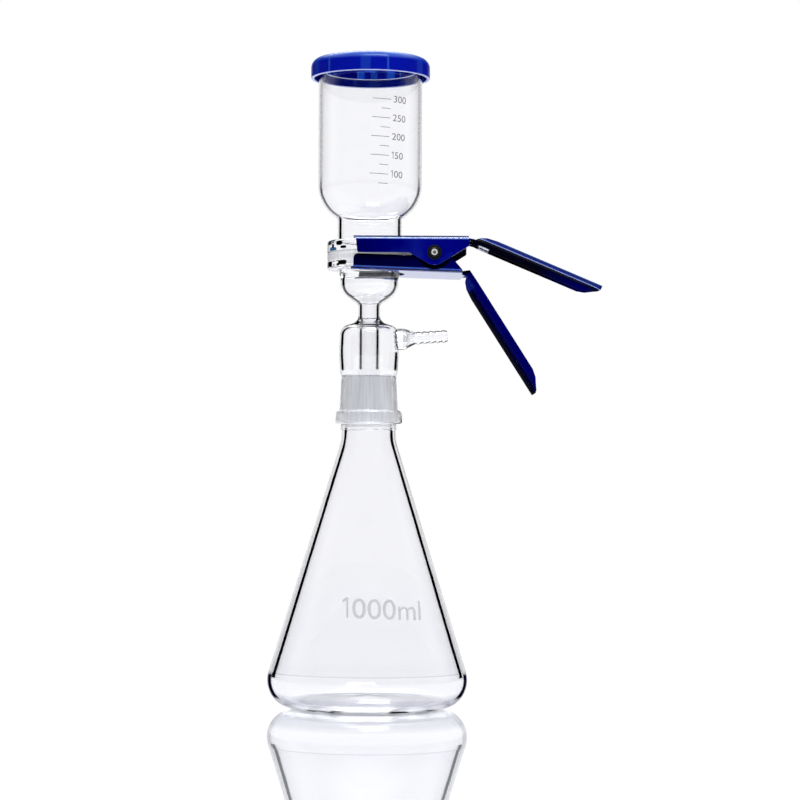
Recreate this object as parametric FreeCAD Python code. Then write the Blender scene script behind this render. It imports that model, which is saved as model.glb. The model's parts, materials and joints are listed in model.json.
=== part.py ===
import FreeCAD, Part
import math
import os

# Vacuum filtration unit: a conical receiving flask, a filter base in its ground joint,
# a graduated funnel on the base, a lid on the funnel, and a spring clamp round the flanges.
# Millimetres. The origin is the centre of the flask's foot, +Z is up the glassware,
# and +X points along the hose barb and the clamp's handles.

V = FreeCAD.Vector
UP = V(0, 0, 1)
ACROSS = V(0, 1, 0)
OVERRUN = 5.0                  # how far a cutting tool runs past what it cuts
HAIR = 0.02                    # gap between faces that rest on each other across two pieces

# Receiving flask
FLASK_BODY_R = 65.5            # widest radius, just above the foot
FLASK_HEEL_R = 18.4            # rounding between the foot and the cone
FLASK_CONE_DEG = 17.2          # slope of the cone from the vertical
FLASK_WALL = 2.2
FLASK_FLOOR_WALL = 3.0
FLASK_FOOT_WIDTH = 4.0         # flat ring that the flask stands on
FLASK_PUNT = 3.5               # rise of the bottom's centre
FLASK_NECK_R = 17.8
FLASK_NECK_ROUND = 32.0        # rounding between the cone and the neck
FLASK_NECK_LENGTH = 10.3       # from the corner of cone and neck to the ground cone
FLASK_BEAD_PROUD = 0.5         # thickened ring under the ground cone
FLASK_BEAD_HEIGHT = 3.6

# Ground joint between the flask and the base (34/35)
JOINT_LENGTH = 31.4
JOINT_BASE_R = 17.07
JOINT_TAPER = 0.05             # radius lost for each millimetre of height
JOINT_CLEARANCE = 0.04

# Filter base
BASE_WALL = 2.0
SOCKET_LIFT = 0.6              # socket mouth above the bottom of the cone
COLLAR_R = 22.0
COLLAR_HEIGHT = 7.4
COLLAR_ROUND = 1.2
COLLAR_DRAFT = 0.6             # how much smaller the collar is at its top
COLLAR_STEP = 1.0              # height of the step from the collar to the socket
SOCKET_WALL = 2.55
CHAMBER_R = 19.8
CHAMBER_HEIGHT = 32.0          # from the top of the joint to the shoulder of the dome
CHAMBER_BARREL = 0.7           # how much the chamber's ends are smaller than its middle
CHAMBER_SIDE_ROUND = 60.0
CHAMBER_FOOT_RISE = 3.6        # from the socket's top to the chamber's lower corner
CHAMBER_FOOT_ROUND = 3.0
SOCKET_TOP_ROUND = 1.5
DOME_ROUND = 7.0
DOME_RISE = 4.6
STEM_R = 7.2
STEM_BORE_R = 5.2
STEM_TIP_LIFT = 6.0            # stem's tip above the bottom of the cone
STEM_EXPOSED = 11.0            # stem between the dome and the bowl
STEM_ROUND = 2.5               # where the stem meets the bowl
STEM_CAP_ROUND = 4.5           # where the stem meets the dome
STEM_WELD_ROUND = 1.5          # the same inside the chamber
STEM_TIP_ROUND = 0.4
BOWL_R = 19.0
BOWL_ROUND = 11.0
BOWL_RISE = 7.2                # rise of the bowl's floor from the stem to its side
BOWL_SIDE = 15.2               # from the bowl's floor corner to the flange
BOWL_LIP_R = 20.6
BOWL_LIP_ROUND = 0.8
BOWL_WAIST_DROP = 6.0          # below the flange, where the bowl starts to widen
BOWL_WAIST_ROUND = 8.0
FLANGE_R = 27.8
BASE_FLANGE_HEIGHT = 9.5
FLANGE_ROUND = 1.5
RING_ROUND = 0.5               # small rounding of ground edges

# Hose barb
BARB_LIFT = 24.6               # barb's root above the top of the joint
BARB_RISE_DEG = 4.0
BARB_ROOT_R = 6.9
BARB_ROOT_END = 3.2            # end of the wide root outside the chamber's wall
BARB_TAPER_LENGTH = 8.0
BARB_R = 4.2                   # radius of the ridges
BARB_GROOVE_R = 3.5
BARB_BORE_R = 2.3
BARB_RIDGES = 5
BARB_PITCH = 4.1
BARB_CREST = 0.3               # share of the pitch where each ridge is highest
BARB_ROOT_ROUND = 5.0
BARB_SHANK_ROUND = 3.0
BARB_CREST_ROUND = 0.5
BARB_GROOVE_ROUND = 0.3

# Fritted disc
FRIT_R = 19.6
FRIT_THICKNESS = 4.0
FRIT_BELOW_FACE = 0.2

# Funnel
FUNNEL_WALL = 2.0
FUNNEL_FLANGE_HEIGHT = 9.2
FUNNEL_NECK_R = 21.1
FUNNEL_NECK_HEIGHT = 15.3      # from the flange's top to the shoulder
FUNNEL_SHOULDER_DEG = 33.0
FUNNEL_SHOULDER_ROUND = 25.0
FUNNEL_NECK_ROUND = 2.0        # between the neck and the shoulder
FUNNEL_WELD_ROUND = 1.0        # between the flange and the neck
FUNNEL_LIP_ROUND = 0.8
FUNNEL_BODY_R = 34.1
FUNNEL_BODY_HEIGHT = 93.3      # from the shoulder's outer corner to the rim

# Lid
LID_TOP = 3.8
LID_SKIRT_DEPTH = 9.5
LID_SKIRT_WALL = 2.2
LID_SKIRT_GAP = 2.9            # between the funnel's outside and the skirt
LID_ROUND = 6.2
LID_PLUG_DEPTH = 5.1
LID_PLUG_WALL = 2.0
LID_PLUG_GAP = 0.4             # between the plug ring and the funnel's inside
LID_EDGE_ROUND = 0.6
LID_SKIRT_ROUND = 1.5          # inside, between the top and the skirt

# Clamp
SHEET = 1.4
BEND_R = 3.2                   # outside radius of the bends between web and walls
FLANGE_GAP = 0.4               # between the flanges and the walls beside them
LEVER_GAP = 0.3                # between the nested walls of the two levers
PIVOT_X = 42.3
PIVOT_DROP = 0.4               # pivot below the ground faces
FORK_GAP = 2.4                 # between the funnel's neck and the fork
UPPER_JAW = 52.4               # pivot to the tip of the jaw
UPPER_TAIL = 22.2              # pivot to the end of the wide channel
UPPER_WALL = 11.1              # height of the side walls, web included
UPPER_EAR_R = 8.3
UPPER_HANDLE_DEG = 22.8        # handle below the horizontal
LOWER_TILT_DEG = 2.0
LOWER_JAW = 53.7
LOWER_TAIL = 18.6
LOWER_WALL = 10.0
LOWER_EAR_R = 6.6
LOWER_HANDLE_DEG = 57.5
EAR_FRONT = 16.3               # pivot to where the upper ear leaves the wall's edge
JAW_NIB = 1.5                  # web tip ahead of the wall's end
JAW_NIB_STEP = 0.4             # wall's start below the web at the tip
UPPER_JAW_SLANT = 2.55         # web tip to the lower corner of the upper wall's end
UPPER_JAW_ROUND = 1.2
UPPER_EAR_ROUND = 2.0          # where the wall's edge turns into the ear
UPPER_TAIL_DROP = 6.9          # web's face to the lower corner of the wall's tail
UPPER_TAIL_ROUND = 1.0
LOWER_JAW_ROUND = 3.0
LOWER_EAR_STEP = 3.0           # slanted corner between the wall's edge and the ear
LOWER_EAR_ROUND = 1.5
LOWER_TAIL_FOOT = 11.2         # pivot to where the lower wall starts to taper
LOWER_TAIL_DROP = 2.0          # web's face to the wall's edge at the tail
LOWER_TAIL_ROUND = 1.0
UPPER_NECK_LENGTH = 4.7        # flat strip between the wide channel and the handle's bend
LOWER_NECK_LENGTH = 3.2
SHOULDER_HALF = 15.0           # half width where the web starts to narrow to that strip
HANDLE_LENGTH = 89.0
HANDLE_HALF_WIDTH = 9.5
HANDLE_NECK_HALF_WIDTH = 6.5
HANDLE_CROWN = 5.2
HANDLE_WALL = 4.0
HANDLE_NECK_ROUND = 0.28       # how far the neck's long edges lie below its middle

# Pivot and spring
PIN_R = 2.3
PIN_BORE_R = 1.2
PIN_HEAD_R = 3.1
PIN_HEAD_THICKNESS = 0.9
PIN_BORE_DEPTH = 2.0           # below the head's seat
PIN_RUNNING_GAP = 0.05
WASHER_R = 4.7
WASHER_THICKNESS = 0.9
WASHER_GAP = 0.05
BUSH_R = 3.7
BUSH_END_GAP = 0.2             # between the bush and the ear at each end
SPRING_WIRE_R = 0.9
SPRING_GAP = 0.3               # between the bush and the spring's coils
SPRING_TURNS = 5               # whole turns; the legs' angle adds the rest
SPRING_PITCH = 2.0
SPRING_LEG_DEG = 60.0          # slope of each leg from the webs
SPRING_LEG_GAP = 0.1           # between a leg's end and the web that it pushes

# Heights and radii that follow from the sizes above
FLASK_FOOT_R = FLASK_BODY_R - FLASK_HEEL_R
FLASK_TOE_R = FLASK_FOOT_R + FLASK_HEEL_R * math.tan(math.radians(90 + FLASK_CONE_DEG) / 2)
FLASK_NECK_Z = (FLASK_TOE_R - FLASK_NECK_R) / math.tan(math.radians(FLASK_CONE_DEG))
JOINT_Z = FLASK_NECK_Z + FLASK_NECK_LENGTH
JOINT_TOP = JOINT_Z + JOINT_LENGTH
JOINT_TOP_R = JOINT_BASE_R - JOINT_TAPER * JOINT_LENGTH
SOCKET_Z = JOINT_Z + SOCKET_LIFT
DOME_Z = JOINT_TOP + CHAMBER_HEIGHT
STEM_TOP = DOME_Z + DOME_RISE + STEM_EXPOSED
BASE_FLANGE_Z = STEM_TOP + BOWL_RISE + BOWL_SIDE
FACE_Z = BASE_FLANGE_Z + BASE_FLANGE_HEIGHT
FUNNEL_FLANGE_TOP = FACE_Z + FUNNEL_FLANGE_HEIGHT
SHOULDER_Z = FUNNEL_FLANGE_TOP + FUNNEL_NECK_HEIGHT
SHOULDER_RISE = (FUNNEL_BODY_R - FUNNEL_NECK_R) * math.tan(math.radians(FUNNEL_SHOULDER_DEG))
RIM_Z = SHOULDER_Z + SHOULDER_RISE + FUNNEL_BODY_HEIGHT
PIVOT = V(PIVOT_X, 0, FACE_Z - PIVOT_DROP)
LOWER_INNER = FLANGE_R + FLANGE_GAP
LOWER_OUTER = LOWER_INNER + SHEET
UPPER_INNER = LOWER_OUTER + LEVER_GAP
UPPER_OUTER = UPPER_INNER + SHEET
FORK_R = FUNNEL_NECK_R + FORK_GAP


def turn(a, b, c):
    """Angle of the turn at b, on the way from a to c, and its two unit directions."""
    into = V(b[0] - a[0], 0, b[1] - a[1]).normalize()
    out = V(c[0] - b[0], 0, c[1] - b[1]).normalize()
    left = into.x * out.z - into.z * out.x
    return math.atan2(left, into.dot(out)), into, out


def rounded_edges(corners, closed=True):
    """Lines and tangent arcs in the XZ plane through corners (x, z, rounding)."""
    count = len(corners)
    stops = []
    for i, (x, z, rounding) in enumerate(corners):
        here = V(x, 0, z)
        if rounding <= 0 or (not closed and i in (0, count - 1)):
            stops.append((here, None, here))
            continue
        angle, into, out = turn(corners[i - 1], corners[i], corners[(i + 1) % count])
        cut = rounding * math.tan(abs(angle) / 2)
        start, end = here - into * cut, here + out * cut
        bisector = (out - into).normalize()
        middle = here + bisector * (rounding / math.cos(angle / 2) - rounding)
        stops.append((start, middle, end))
    edges = []
    for i, (start, middle, end) in enumerate(stops):
        if middle is not None:
            edges.append(Part.Arc(start, middle, end).toShape())
        if i + 1 < count or closed:
            following = stops[(i + 1) % count][0]
            if end.distanceToPoint(following) > 1e-6:
                edges.append(Part.makeLine(end, following))
    return edges


def outline_face(corners):
    return Part.Face(Part.Wire(rounded_edges(corners)))


def turned(corners):
    """Solid of revolution about Z with this half section."""
    return outline_face(corners).revolve(V(0, 0, 0), UP, 360)


def thicker(chain, wall):
    """The chain of corners that lies a wall further in, to the left of its direction."""
    result = []
    for i, (x, z, rounding) in enumerate(chain):
        before = chain[i - 1] if i else None
        after = chain[i + 1] if i + 1 < len(chain) else None
        if before is None or after is None:
            a, b = (before, (x, z)) if before else ((x, z), after)
            along = V(b[0] - a[0], 0, b[1] - a[1]).normalize()
            result.append((x - along.z * wall, z + along.x * wall, 0))
            continue
        angle, into, out = turn(before, (x, z), after)
        spread = wall * math.tan(angle / 2)
        inner = (x - into.z * wall - into.x * spread, z + into.x * wall - into.z * spread)
        grown = rounding - wall if angle > 0 else rounding + wall
        result.append((*inner, max(grown, 0) if rounding else 0))
    return result


def plate(corners, half_width):
    """The outline in XZ made into a plate that runs from -half_width to half_width in Y."""
    face = outline_face(corners)
    face.translate(V(0, -half_width, 0))
    return face.extrude(V(0, 2 * half_width, 0))


def rod(radius, y0, y1, centre=V(0, 0, 0)):
    return Part.makeCylinder(radius, y1 - y0, centre + V(0, y0, 0), ACROSS)


def flask_chain():
    """Outside of the flask from the foot to the top of its neck."""
    return [
        (0, FLASK_PUNT, 0),
        (FLASK_FOOT_R - FLASK_FOOT_WIDTH, 0, 0),
        (FLASK_TOE_R, 0, FLASK_HEEL_R),
        (FLASK_NECK_R, FLASK_NECK_Z, FLASK_NECK_ROUND),
        (FLASK_NECK_R, JOINT_Z, 0),
    ]


def receiving_flask():
    outside = flask_chain()
    inside = thicker(outside, FLASK_WALL)
    floor_rise = FLASK_FLOOR_WALL - FLASK_WALL
    inside = [(x, z + floor_rise if i < 2 else z, r) for i, (x, z, r) in enumerate(inside)]
    neck_inner = FLASK_NECK_R - FLASK_WALL
    top_inner = JOINT_TOP_R - FLASK_WALL
    bead = FLASK_NECK_R + FLASK_BEAD_PROUD
    section = outside[:-1] + [
        (FLASK_NECK_R, JOINT_Z - FLASK_BEAD_HEIGHT, RING_ROUND),
        (bead, JOINT_Z - FLASK_BEAD_HEIGHT, RING_ROUND / 2),
        (bead, JOINT_Z, RING_ROUND),
        (JOINT_BASE_R, JOINT_Z, 0),
        (JOINT_TOP_R, JOINT_TOP, RING_ROUND),
        (top_inner, JOINT_TOP, RING_ROUND),
        (neck_inner, JOINT_Z - FLASK_BEAD_HEIGHT, 0),
        inside[3],
        inside[2],
        inside[1],
        (0, inside[1][1] + FLASK_PUNT, 0),
    ]
    return turned(section)


def hose_barb(bore_only=False):
    """The side tube with its ridges, along +X from the axis, before it is tilted."""
    root_end = CHAMBER_R + BARB_ROOT_END
    shank = root_end + BARB_TAPER_LENGTH
    tip = shank + BARB_RIDGES * BARB_PITCH
    if bore_only:
        return Part.makeCylinder(BARB_BORE_R, tip + OVERRUN - STEM_R - BASE_WALL,
                                 V(STEM_R + BASE_WALL, 0, 0), V(1, 0, 0))
    half = [
        (0, 0, 0),
        (0, BARB_ROOT_R, 0),
        (root_end, BARB_ROOT_R, BARB_ROOT_ROUND),
        (shank, BARB_GROOVE_R, BARB_SHANK_ROUND),
    ]
    for ridge in range(BARB_RIDGES):
        start = shank + ridge * BARB_PITCH
        half.append((start + BARB_CREST * BARB_PITCH, BARB_R, BARB_CREST_ROUND))
        half.append((start + BARB_PITCH, BARB_GROOVE_R, BARB_GROOVE_ROUND))
    half.append((tip, 0, 0))
    return outline_face(half).revolve(V(0, 0, 0), V(1, 0, 0), 360)


def set_barb(shape):
    shape.rotate(V(0, 0, 0), ACROSS, -BARB_RISE_DEG)
    root_z = JOINT_TOP + BARB_LIFT - CHAMBER_R * math.tan(math.radians(BARB_RISE_DEG))
    shape.translate(V(0, 0, root_z))
    return shape


def filter_base():
    """One blown piece: socket, vacuum chamber, drip stem, bowl, flange and hose barb."""
    mouth_r = JOINT_BASE_R - JOINT_TAPER * SOCKET_LIFT + JOINT_CLEARANCE
    end_r = JOINT_TOP_R + JOINT_CLEARANCE
    chamber_end = CHAMBER_R - CHAMBER_BARREL
    chamber = [
        (end_r + SOCKET_WALL, JOINT_TOP, SOCKET_TOP_ROUND),
        (chamber_end, JOINT_TOP + CHAMBER_FOOT_RISE, CHAMBER_FOOT_ROUND),
        (CHAMBER_R, JOINT_TOP + CHAMBER_HEIGHT / 2, CHAMBER_SIDE_ROUND),
        (chamber_end, DOME_Z, DOME_ROUND),
    ]
    bowl = [
        (STEM_R, STEM_TOP, STEM_ROUND),
        (BOWL_R, STEM_TOP + BOWL_RISE, BOWL_ROUND),
        (BOWL_R, BASE_FLANGE_Z - BOWL_WAIST_DROP, BOWL_WAIST_ROUND),
    ]
    collar_top = SOCKET_Z + COLLAR_HEIGHT
    socket_top_r = mouth_r + SOCKET_WALL - JOINT_TAPER * COLLAR_HEIGHT
    outside = [
        (0, SOCKET_Z, 0),
        (COLLAR_R, SOCKET_Z, COLLAR_ROUND),
        (COLLAR_R - COLLAR_DRAFT, collar_top, COLLAR_ROUND),
        (socket_top_r, collar_top + COLLAR_STEP, RING_ROUND),
        *chamber,
        (STEM_R, DOME_Z + DOME_RISE, STEM_CAP_ROUND),
        *bowl,
        (BOWL_LIP_R, BASE_FLANGE_Z, BOWL_LIP_ROUND),
        (FLANGE_R, BASE_FLANGE_Z, FLANGE_ROUND),
        (FLANGE_R, FACE_Z, RING_ROUND),
        (0, FACE_Z, 0),
    ]
    weld = (STEM_R, DOME_Z + DOME_RISE, 0)
    room = thicker(chamber + [weld], BASE_WALL)[1:-1]
    dome_inside = room[-1]
    fall = DOME_RISE / (chamber_end - STEM_R)
    stem_weld_z = dome_inside[1] + (dome_inside[0] - STEM_R) * fall
    chamber_void = [
        (0, SOCKET_Z - OVERRUN, 0),
        (mouth_r + JOINT_TAPER * OVERRUN, SOCKET_Z - OVERRUN, 0),
        (end_r, JOINT_TOP, 0),
        *room,
        (STEM_R, stem_weld_z, STEM_WELD_ROUND),
        (STEM_R, JOINT_Z + STEM_TIP_LIFT, STEM_TIP_ROUND),
        (0, JOINT_Z + STEM_TIP_LIFT, 0),
    ]
    seat_z = FACE_Z - FRIT_BELOW_FACE - FRIT_THICKNESS - HAIR
    bowl_inside = thicker([(STEM_R, STEM_TOP - OVERRUN, 0)] + bowl, BASE_WALL)[1:-1]
    bowl_void = [
        (0, JOINT_Z, 0),
        (STEM_BORE_R, JOINT_Z, 0),
        *bowl_inside,
        (BOWL_R - BASE_WALL, seat_z, 0),
        (FRIT_R + HAIR, seat_z, 0),
        (FRIT_R + HAIR, FACE_Z + OVERRUN, 0),
        (0, FACE_Z + OVERRUN, 0),
    ]
    solid = turned(outside).fuse(set_barb(hose_barb()))
    for void in (turned(chamber_void), turned(bowl_void), set_barb(hose_barb(True))):
        solid = solid.cut(void)
    return solid


def fritted_disc():
    top = FACE_Z - FRIT_BELOW_FACE
    bottom = top - FRIT_THICKNESS
    return turned([(0, bottom, 0), (FRIT_R, bottom, 0), (FRIT_R, top, 0), (0, top, 0)])


def funnel():
    outside = [
        (FUNNEL_NECK_R, FACE_Z - OVERRUN, 0),
        (FUNNEL_NECK_R, SHOULDER_Z, FUNNEL_NECK_ROUND),
        (FUNNEL_BODY_R, SHOULDER_Z + SHOULDER_RISE, FUNNEL_SHOULDER_ROUND),
        (FUNNEL_BODY_R, RIM_Z, 0),
    ]
    inside = thicker(outside, FUNNEL_WALL)
    bore = FUNNEL_NECK_R - FUNNEL_WALL
    section = [
        (bore, FACE_Z + HAIR, RING_ROUND),
        (FLANGE_R, FACE_Z + HAIR, RING_ROUND),
        (FLANGE_R, FUNNEL_FLANGE_TOP, FLANGE_ROUND),
        (FUNNEL_NECK_R, FUNNEL_FLANGE_TOP, FUNNEL_WELD_ROUND),
        *outside[1:3],
        (FUNNEL_BODY_R, RIM_Z, FUNNEL_LIP_ROUND),
        (FUNNEL_BODY_R - FUNNEL_WALL, RIM_Z, FUNNEL_LIP_ROUND),
        inside[2],
        inside[1],
    ]
    return turned(section)


def lid():
    under = RIM_Z + HAIR
    top = under + LID_TOP
    skirt_in = FUNNEL_BODY_R + LID_SKIRT_GAP
    skirt_out = skirt_in + LID_SKIRT_WALL
    plug_out = FUNNEL_BODY_R - FUNNEL_WALL - LID_PLUG_GAP
    plug_in = plug_out - LID_PLUG_WALL
    return turned([
        (0, under, 0),
        (plug_in, under, LID_EDGE_ROUND),
        (plug_in, under - LID_PLUG_DEPTH, LID_EDGE_ROUND),
        (plug_out, under - LID_PLUG_DEPTH, LID_EDGE_ROUND),
        (plug_out, under, 0),
        (skirt_in, under, LID_SKIRT_ROUND),
        (skirt_in, under - LID_SKIRT_DEPTH, LID_EDGE_ROUND),
        (skirt_out, under - LID_SKIRT_DEPTH, LID_EDGE_ROUND),
        (skirt_out, top, LID_ROUND),
        (0, top, 0),
    ])


def tangent_point(x, z, radius):
    """Where a line from (x, z) touches the underside of a circle about the origin."""
    reach = math.hypot(x, z)
    swing = math.acos(radius / reach)
    angle = math.atan2(z, x) + (swing if x < 0 else -swing)
    return radius * math.cos(angle), radius * math.sin(angle)


def channel(side_outline, web_height, inner, outer):
    """Pressed channel: a web on top, bends of one radius and a wall each side."""
    body = plate(side_outline, outer)
    long_edges = [
        e for e in body.Edges
        if abs(e.BoundBox.ZMin - web_height) < 1e-6 and abs(e.BoundBox.ZMax - web_height) < 1e-6
        and abs(abs(e.CenterOfMass.y) - outer) < 1e-6
    ]
    body = body.makeFillet(BEND_R, long_edges)
    reach = UPPER_JAW + LOWER_JAW
    hollow = Part.makeBox(2 * reach, 2 * inner, web_height + reach,
                          V(-reach, -inner, -reach - SHEET))
    ridge = [e for e in hollow.Edges if abs(e.BoundBox.ZMin - (web_height - SHEET)) < 1e-6
             and abs(e.CenterOfMass.y) > inner - 1e-6]
    return body.cut(hollow.makeFillet(BEND_R - SHEET, ridge))


def fork_slot(web_height):
    """U-shaped cut in the web, open at the jaw's tip."""
    height = 2 * (SHEET + OVERRUN)
    low = web_height - height / 2
    round_end = Part.makeCylinder(FORK_R, height, V(-PIVOT_X, 0, low))
    mouth = Part.makeBox(UPPER_JAW, 2 * FORK_R, height, V(-PIVOT_X - UPPER_JAW, -FORK_R, low))
    return round_end.fuse(mouth)


def handle_section(half, peak, shoulder, foot):
    """Outer and inner outline, as (y, height), of the crowned channel: foot, shoulder, peak."""
    crown = peak - shoulder
    arch_r = (half ** 2 + crown ** 2) / (2 * crown)
    inner_half = half - SHEET
    inner_shoulder = peak - arch_r + math.sqrt((arch_r - SHEET) ** 2 - inner_half ** 2)
    outside = [(-half, foot), (-half, shoulder), (0, peak), (half, shoulder), (half, foot)]
    inside = [(-inner_half, foot), (-inner_half, inner_shoulder), (0, peak - SHEET),
              (inner_half, inner_shoulder), (inner_half, foot)]
    return outside, inside


def handle_wire(section, base, rise):
    """The section stood up at base, with heights along rise."""
    outer, inner = ([base + ACROSS * y + rise * h for y, h in side] for side in section)
    return Part.Wire([
        Part.makeLine(outer[0], outer[1]),
        Part.Arc(outer[1], outer[2], outer[3]).toShape(),
        Part.makeLine(outer[3], outer[4]),
        Part.makeLine(outer[4], inner[4]),
        Part.makeLine(inner[4], inner[3]),
        Part.Arc(inner[3], inner[2], inner[1]).toShape(),
        Part.makeLine(inner[1], inner[0]),
        Part.makeLine(inner[0], outer[0]),
    ])


def shoulders(tail, neck_length, web_height):
    """Web tapered from the channel to the handle's neck, a hair clear of its hollow crest."""
    low = web_height - SHEET + HAIR
    neck_x = tail + neck_length
    half = [(tail - BEND_R, SHOULDER_HALF), (tail, SHOULDER_HALF), (neck_x, HANDLE_NECK_HALF_WIDTH)]
    ring = [V(x, y, low) for x, y in half] + [V(x, -y, low) for x, y in reversed(half)]
    return Part.Face(Part.makePolygon(ring + ring[:1])).extrude(V(0, 0, SHEET - HAIR))


def handle(tail, neck_length, web_height, bend_deg):
    """Grip that leaves the web past its tail and turns down by bend_deg (up if negative)."""
    bend = math.radians(bend_deg)
    along = V(math.cos(bend), 0, -math.sin(bend))
    rise = V(math.sin(bend), 0, math.cos(bend))
    halfway = V(math.tan(bend / 2), 0, 1)
    origin = V(tail + neck_length, 0, web_height)
    neck, full, c, w = HANDLE_NECK_HALF_WIDTH, HANDLE_HALF_WIDTH, HANDLE_CROWN, HANDLE_WALL
    flat = -HANDLE_NECK_ROUND
    # share of the length, half width, peak, shoulder and foot
    stations = [
        (0.03, (neck + full) / 2, 0.5 * c, 0, -w),
        (0.08, full, 0.85 * c, 0, -w),
        (0.16, full, c, 0, -w),
        (0.84, full, c, 0, -w),
        (0.90, 0.93 * full, c, 0.1 * c, -0.7 * w),
        (0.95, 0.77 * full, c, 0.3 * c, -0.1 * w),
        (0.985, 0.52 * full, c, 0.55 * c, 0.2 * c),
        (1.0, 0.28 * full, c, 0.8 * c, 0.45 * c),
    ]
    root = V(tail - SHEET, 0, web_height)
    wires = [
        handle_wire(handle_section(neck, 0, flat, -2 * SHEET), root, UP),
        handle_wire(handle_section(neck, 0, flat, -w), origin, halfway),
    ]
    for share, *sizes in stations:
        base = origin + along * (share * HANDLE_LENGTH)
        wires.append(handle_wire(handle_section(*sizes), base, rise))
    return Part.makeLoft(wires, True, True)


def upper_lever():
    web = FUNNEL_FLANGE_TOP + HAIR + SHEET - PIVOT.z
    edge = web - UPPER_WALL
    ear_start = tangent_point(-EAR_FRONT, edge, UPPER_EAR_R)
    tail = (UPPER_TAIL, web - UPPER_TAIL_DROP)
    ear_end = tangent_point(*tail, UPPER_EAR_R)
    # corner where the two tangents of the ear meet, rounded to the ear's radius
    angle_a = math.atan2(ear_start[1] - edge, ear_start[0] + EAR_FRONT)
    angle_b = math.atan2(tail[1] - ear_end[1], tail[0] - ear_end[0])
    meet_x = ((ear_end[1] - ear_start[1]) + math.tan(angle_a) * ear_start[0]
              - math.tan(angle_b) * ear_end[0]) / (math.tan(angle_a) - math.tan(angle_b))
    meet_z = ear_start[1] + math.tan(angle_a) * (meet_x - ear_start[0])
    side = [
        (-UPPER_JAW, web, 0),
        (-UPPER_JAW, web - SHEET, 0),
        (-UPPER_JAW + JAW_NIB, web - SHEET - JAW_NIB_STEP, 0),
        (-UPPER_JAW + UPPER_JAW_SLANT, edge, UPPER_JAW_ROUND),
        (-EAR_FRONT, edge, UPPER_EAR_ROUND),
        (meet_x, meet_z, UPPER_EAR_R),
        (*tail, UPPER_TAIL_ROUND),
        (UPPER_TAIL, web, 0),
    ]
    lever = channel(side, web, UPPER_INNER, UPPER_OUTER)
    lever = lever.cut(fork_slot(web)).cut(pin_hole())
    lever = lever.fuse(shoulders(UPPER_TAIL, UPPER_NECK_LENGTH, web))
    return lever.fuse(handle(UPPER_TAIL, UPPER_NECK_LENGTH, web, UPPER_HANDLE_DEG))


def pin_hole():
    return rod(PIN_R + PIN_RUNNING_GAP, -UPPER_OUTER - OVERRUN, UPPER_OUTER + OVERRUN)


def lower_web():
    """Pivot to the outer face of the lower web: its jaw tip touches the flange's underside."""
    tilt = math.radians(LOWER_TILT_DEG)
    drop = PIVOT.z - BASE_FLANGE_Z + HAIR
    return SHEET + (drop + LOWER_JAW * math.sin(tilt)) / math.cos(tilt)


def lower_lever():
    """Built upside down about the pivot, then mirrored and tilted."""
    web = lower_web()
    edge = web - LOWER_WALL
    side = [
        (-LOWER_JAW, web, 0),
        (-LOWER_JAW, web - SHEET, 0),
        (-LOWER_JAW + JAW_NIB, web - SHEET - JAW_NIB_STEP, 0),
        (-LOWER_JAW + JAW_NIB, edge, LOWER_JAW_ROUND),
        (-LOWER_EAR_R - LOWER_EAR_STEP, edge, LOWER_EAR_ROUND),
        (-LOWER_EAR_R, edge - LOWER_EAR_STEP, LOWER_EAR_ROUND),
        (-LOWER_EAR_R, -LOWER_EAR_R, LOWER_EAR_R - HAIR),
        (LOWER_EAR_R, -LOWER_EAR_R, LOWER_EAR_R - HAIR),
        (LOWER_EAR_R, edge, LOWER_EAR_ROUND),
        (LOWER_TAIL_FOOT, edge, LOWER_EAR_ROUND),
        (LOWER_TAIL, web - LOWER_TAIL_DROP, LOWER_TAIL_ROUND),
        (LOWER_TAIL, web, 0),
    ]
    lever = channel(side, web, LOWER_INNER, LOWER_OUTER)
    lever = lever.cut(fork_slot(web)).cut(pin_hole())
    lever = lever.fuse(shoulders(LOWER_TAIL, LOWER_NECK_LENGTH, web))
    grip = handle(LOWER_TAIL, LOWER_NECK_LENGTH, web, LOWER_TILT_DEG - LOWER_HANDLE_DEG)
    lever = lever.fuse(grip)
    lever = lever.mirror(V(0, 0, 0), UP)
    lever.rotate(V(0, 0, 0), ACROSS, LOWER_TILT_DEG)
    return lever


def pivot_pin():
    """Tubular rivet with a rolled head at each end."""
    reach = UPPER_OUTER + WASHER_GAP + WASHER_THICKNESS + WASHER_GAP
    pin = rod(PIN_R, -reach, reach)
    for side in (-1, 1):
        near = side * reach
        far = side * (reach + PIN_HEAD_THICKNESS)
        head = rod(PIN_HEAD_R, min(near, far), max(near, far))
        rim = [e for e in head.Edges if abs(e.CenterOfMass.y - far) < 1e-6 and e.Closed]
        pin = pin.fuse(head.makeFillet(PIN_HEAD_THICKNESS * 0.7, rim))
        deep = side * (reach - PIN_BORE_DEPTH)
        pin = pin.cut(rod(PIN_BORE_R, min(deep, far), max(deep, far)))
    return pin


def washer(side):
    near = UPPER_OUTER + WASHER_GAP
    far = near + WASHER_THICKNESS
    y0, y1 = sorted((side * near, side * far))
    ring = rod(WASHER_R, y0, y1).cut(rod(PIN_R + PIN_RUNNING_GAP, y0 - 1, y1 + 1))
    rim = [e for e in ring.Edges if abs(e.CenterOfMass.y - side * far) < 1e-6
           and e.Curve.Radius > WASHER_R - 1e-6]
    return ring.makeFillet(WASHER_THICKNESS * 0.4, rim)


def spring_bush():
    half = LOWER_INNER - BUSH_END_GAP
    return rod(BUSH_R, -half, half).cut(rod(PIN_R + PIN_RUNNING_GAP, -half - 1, half + 1))


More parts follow.
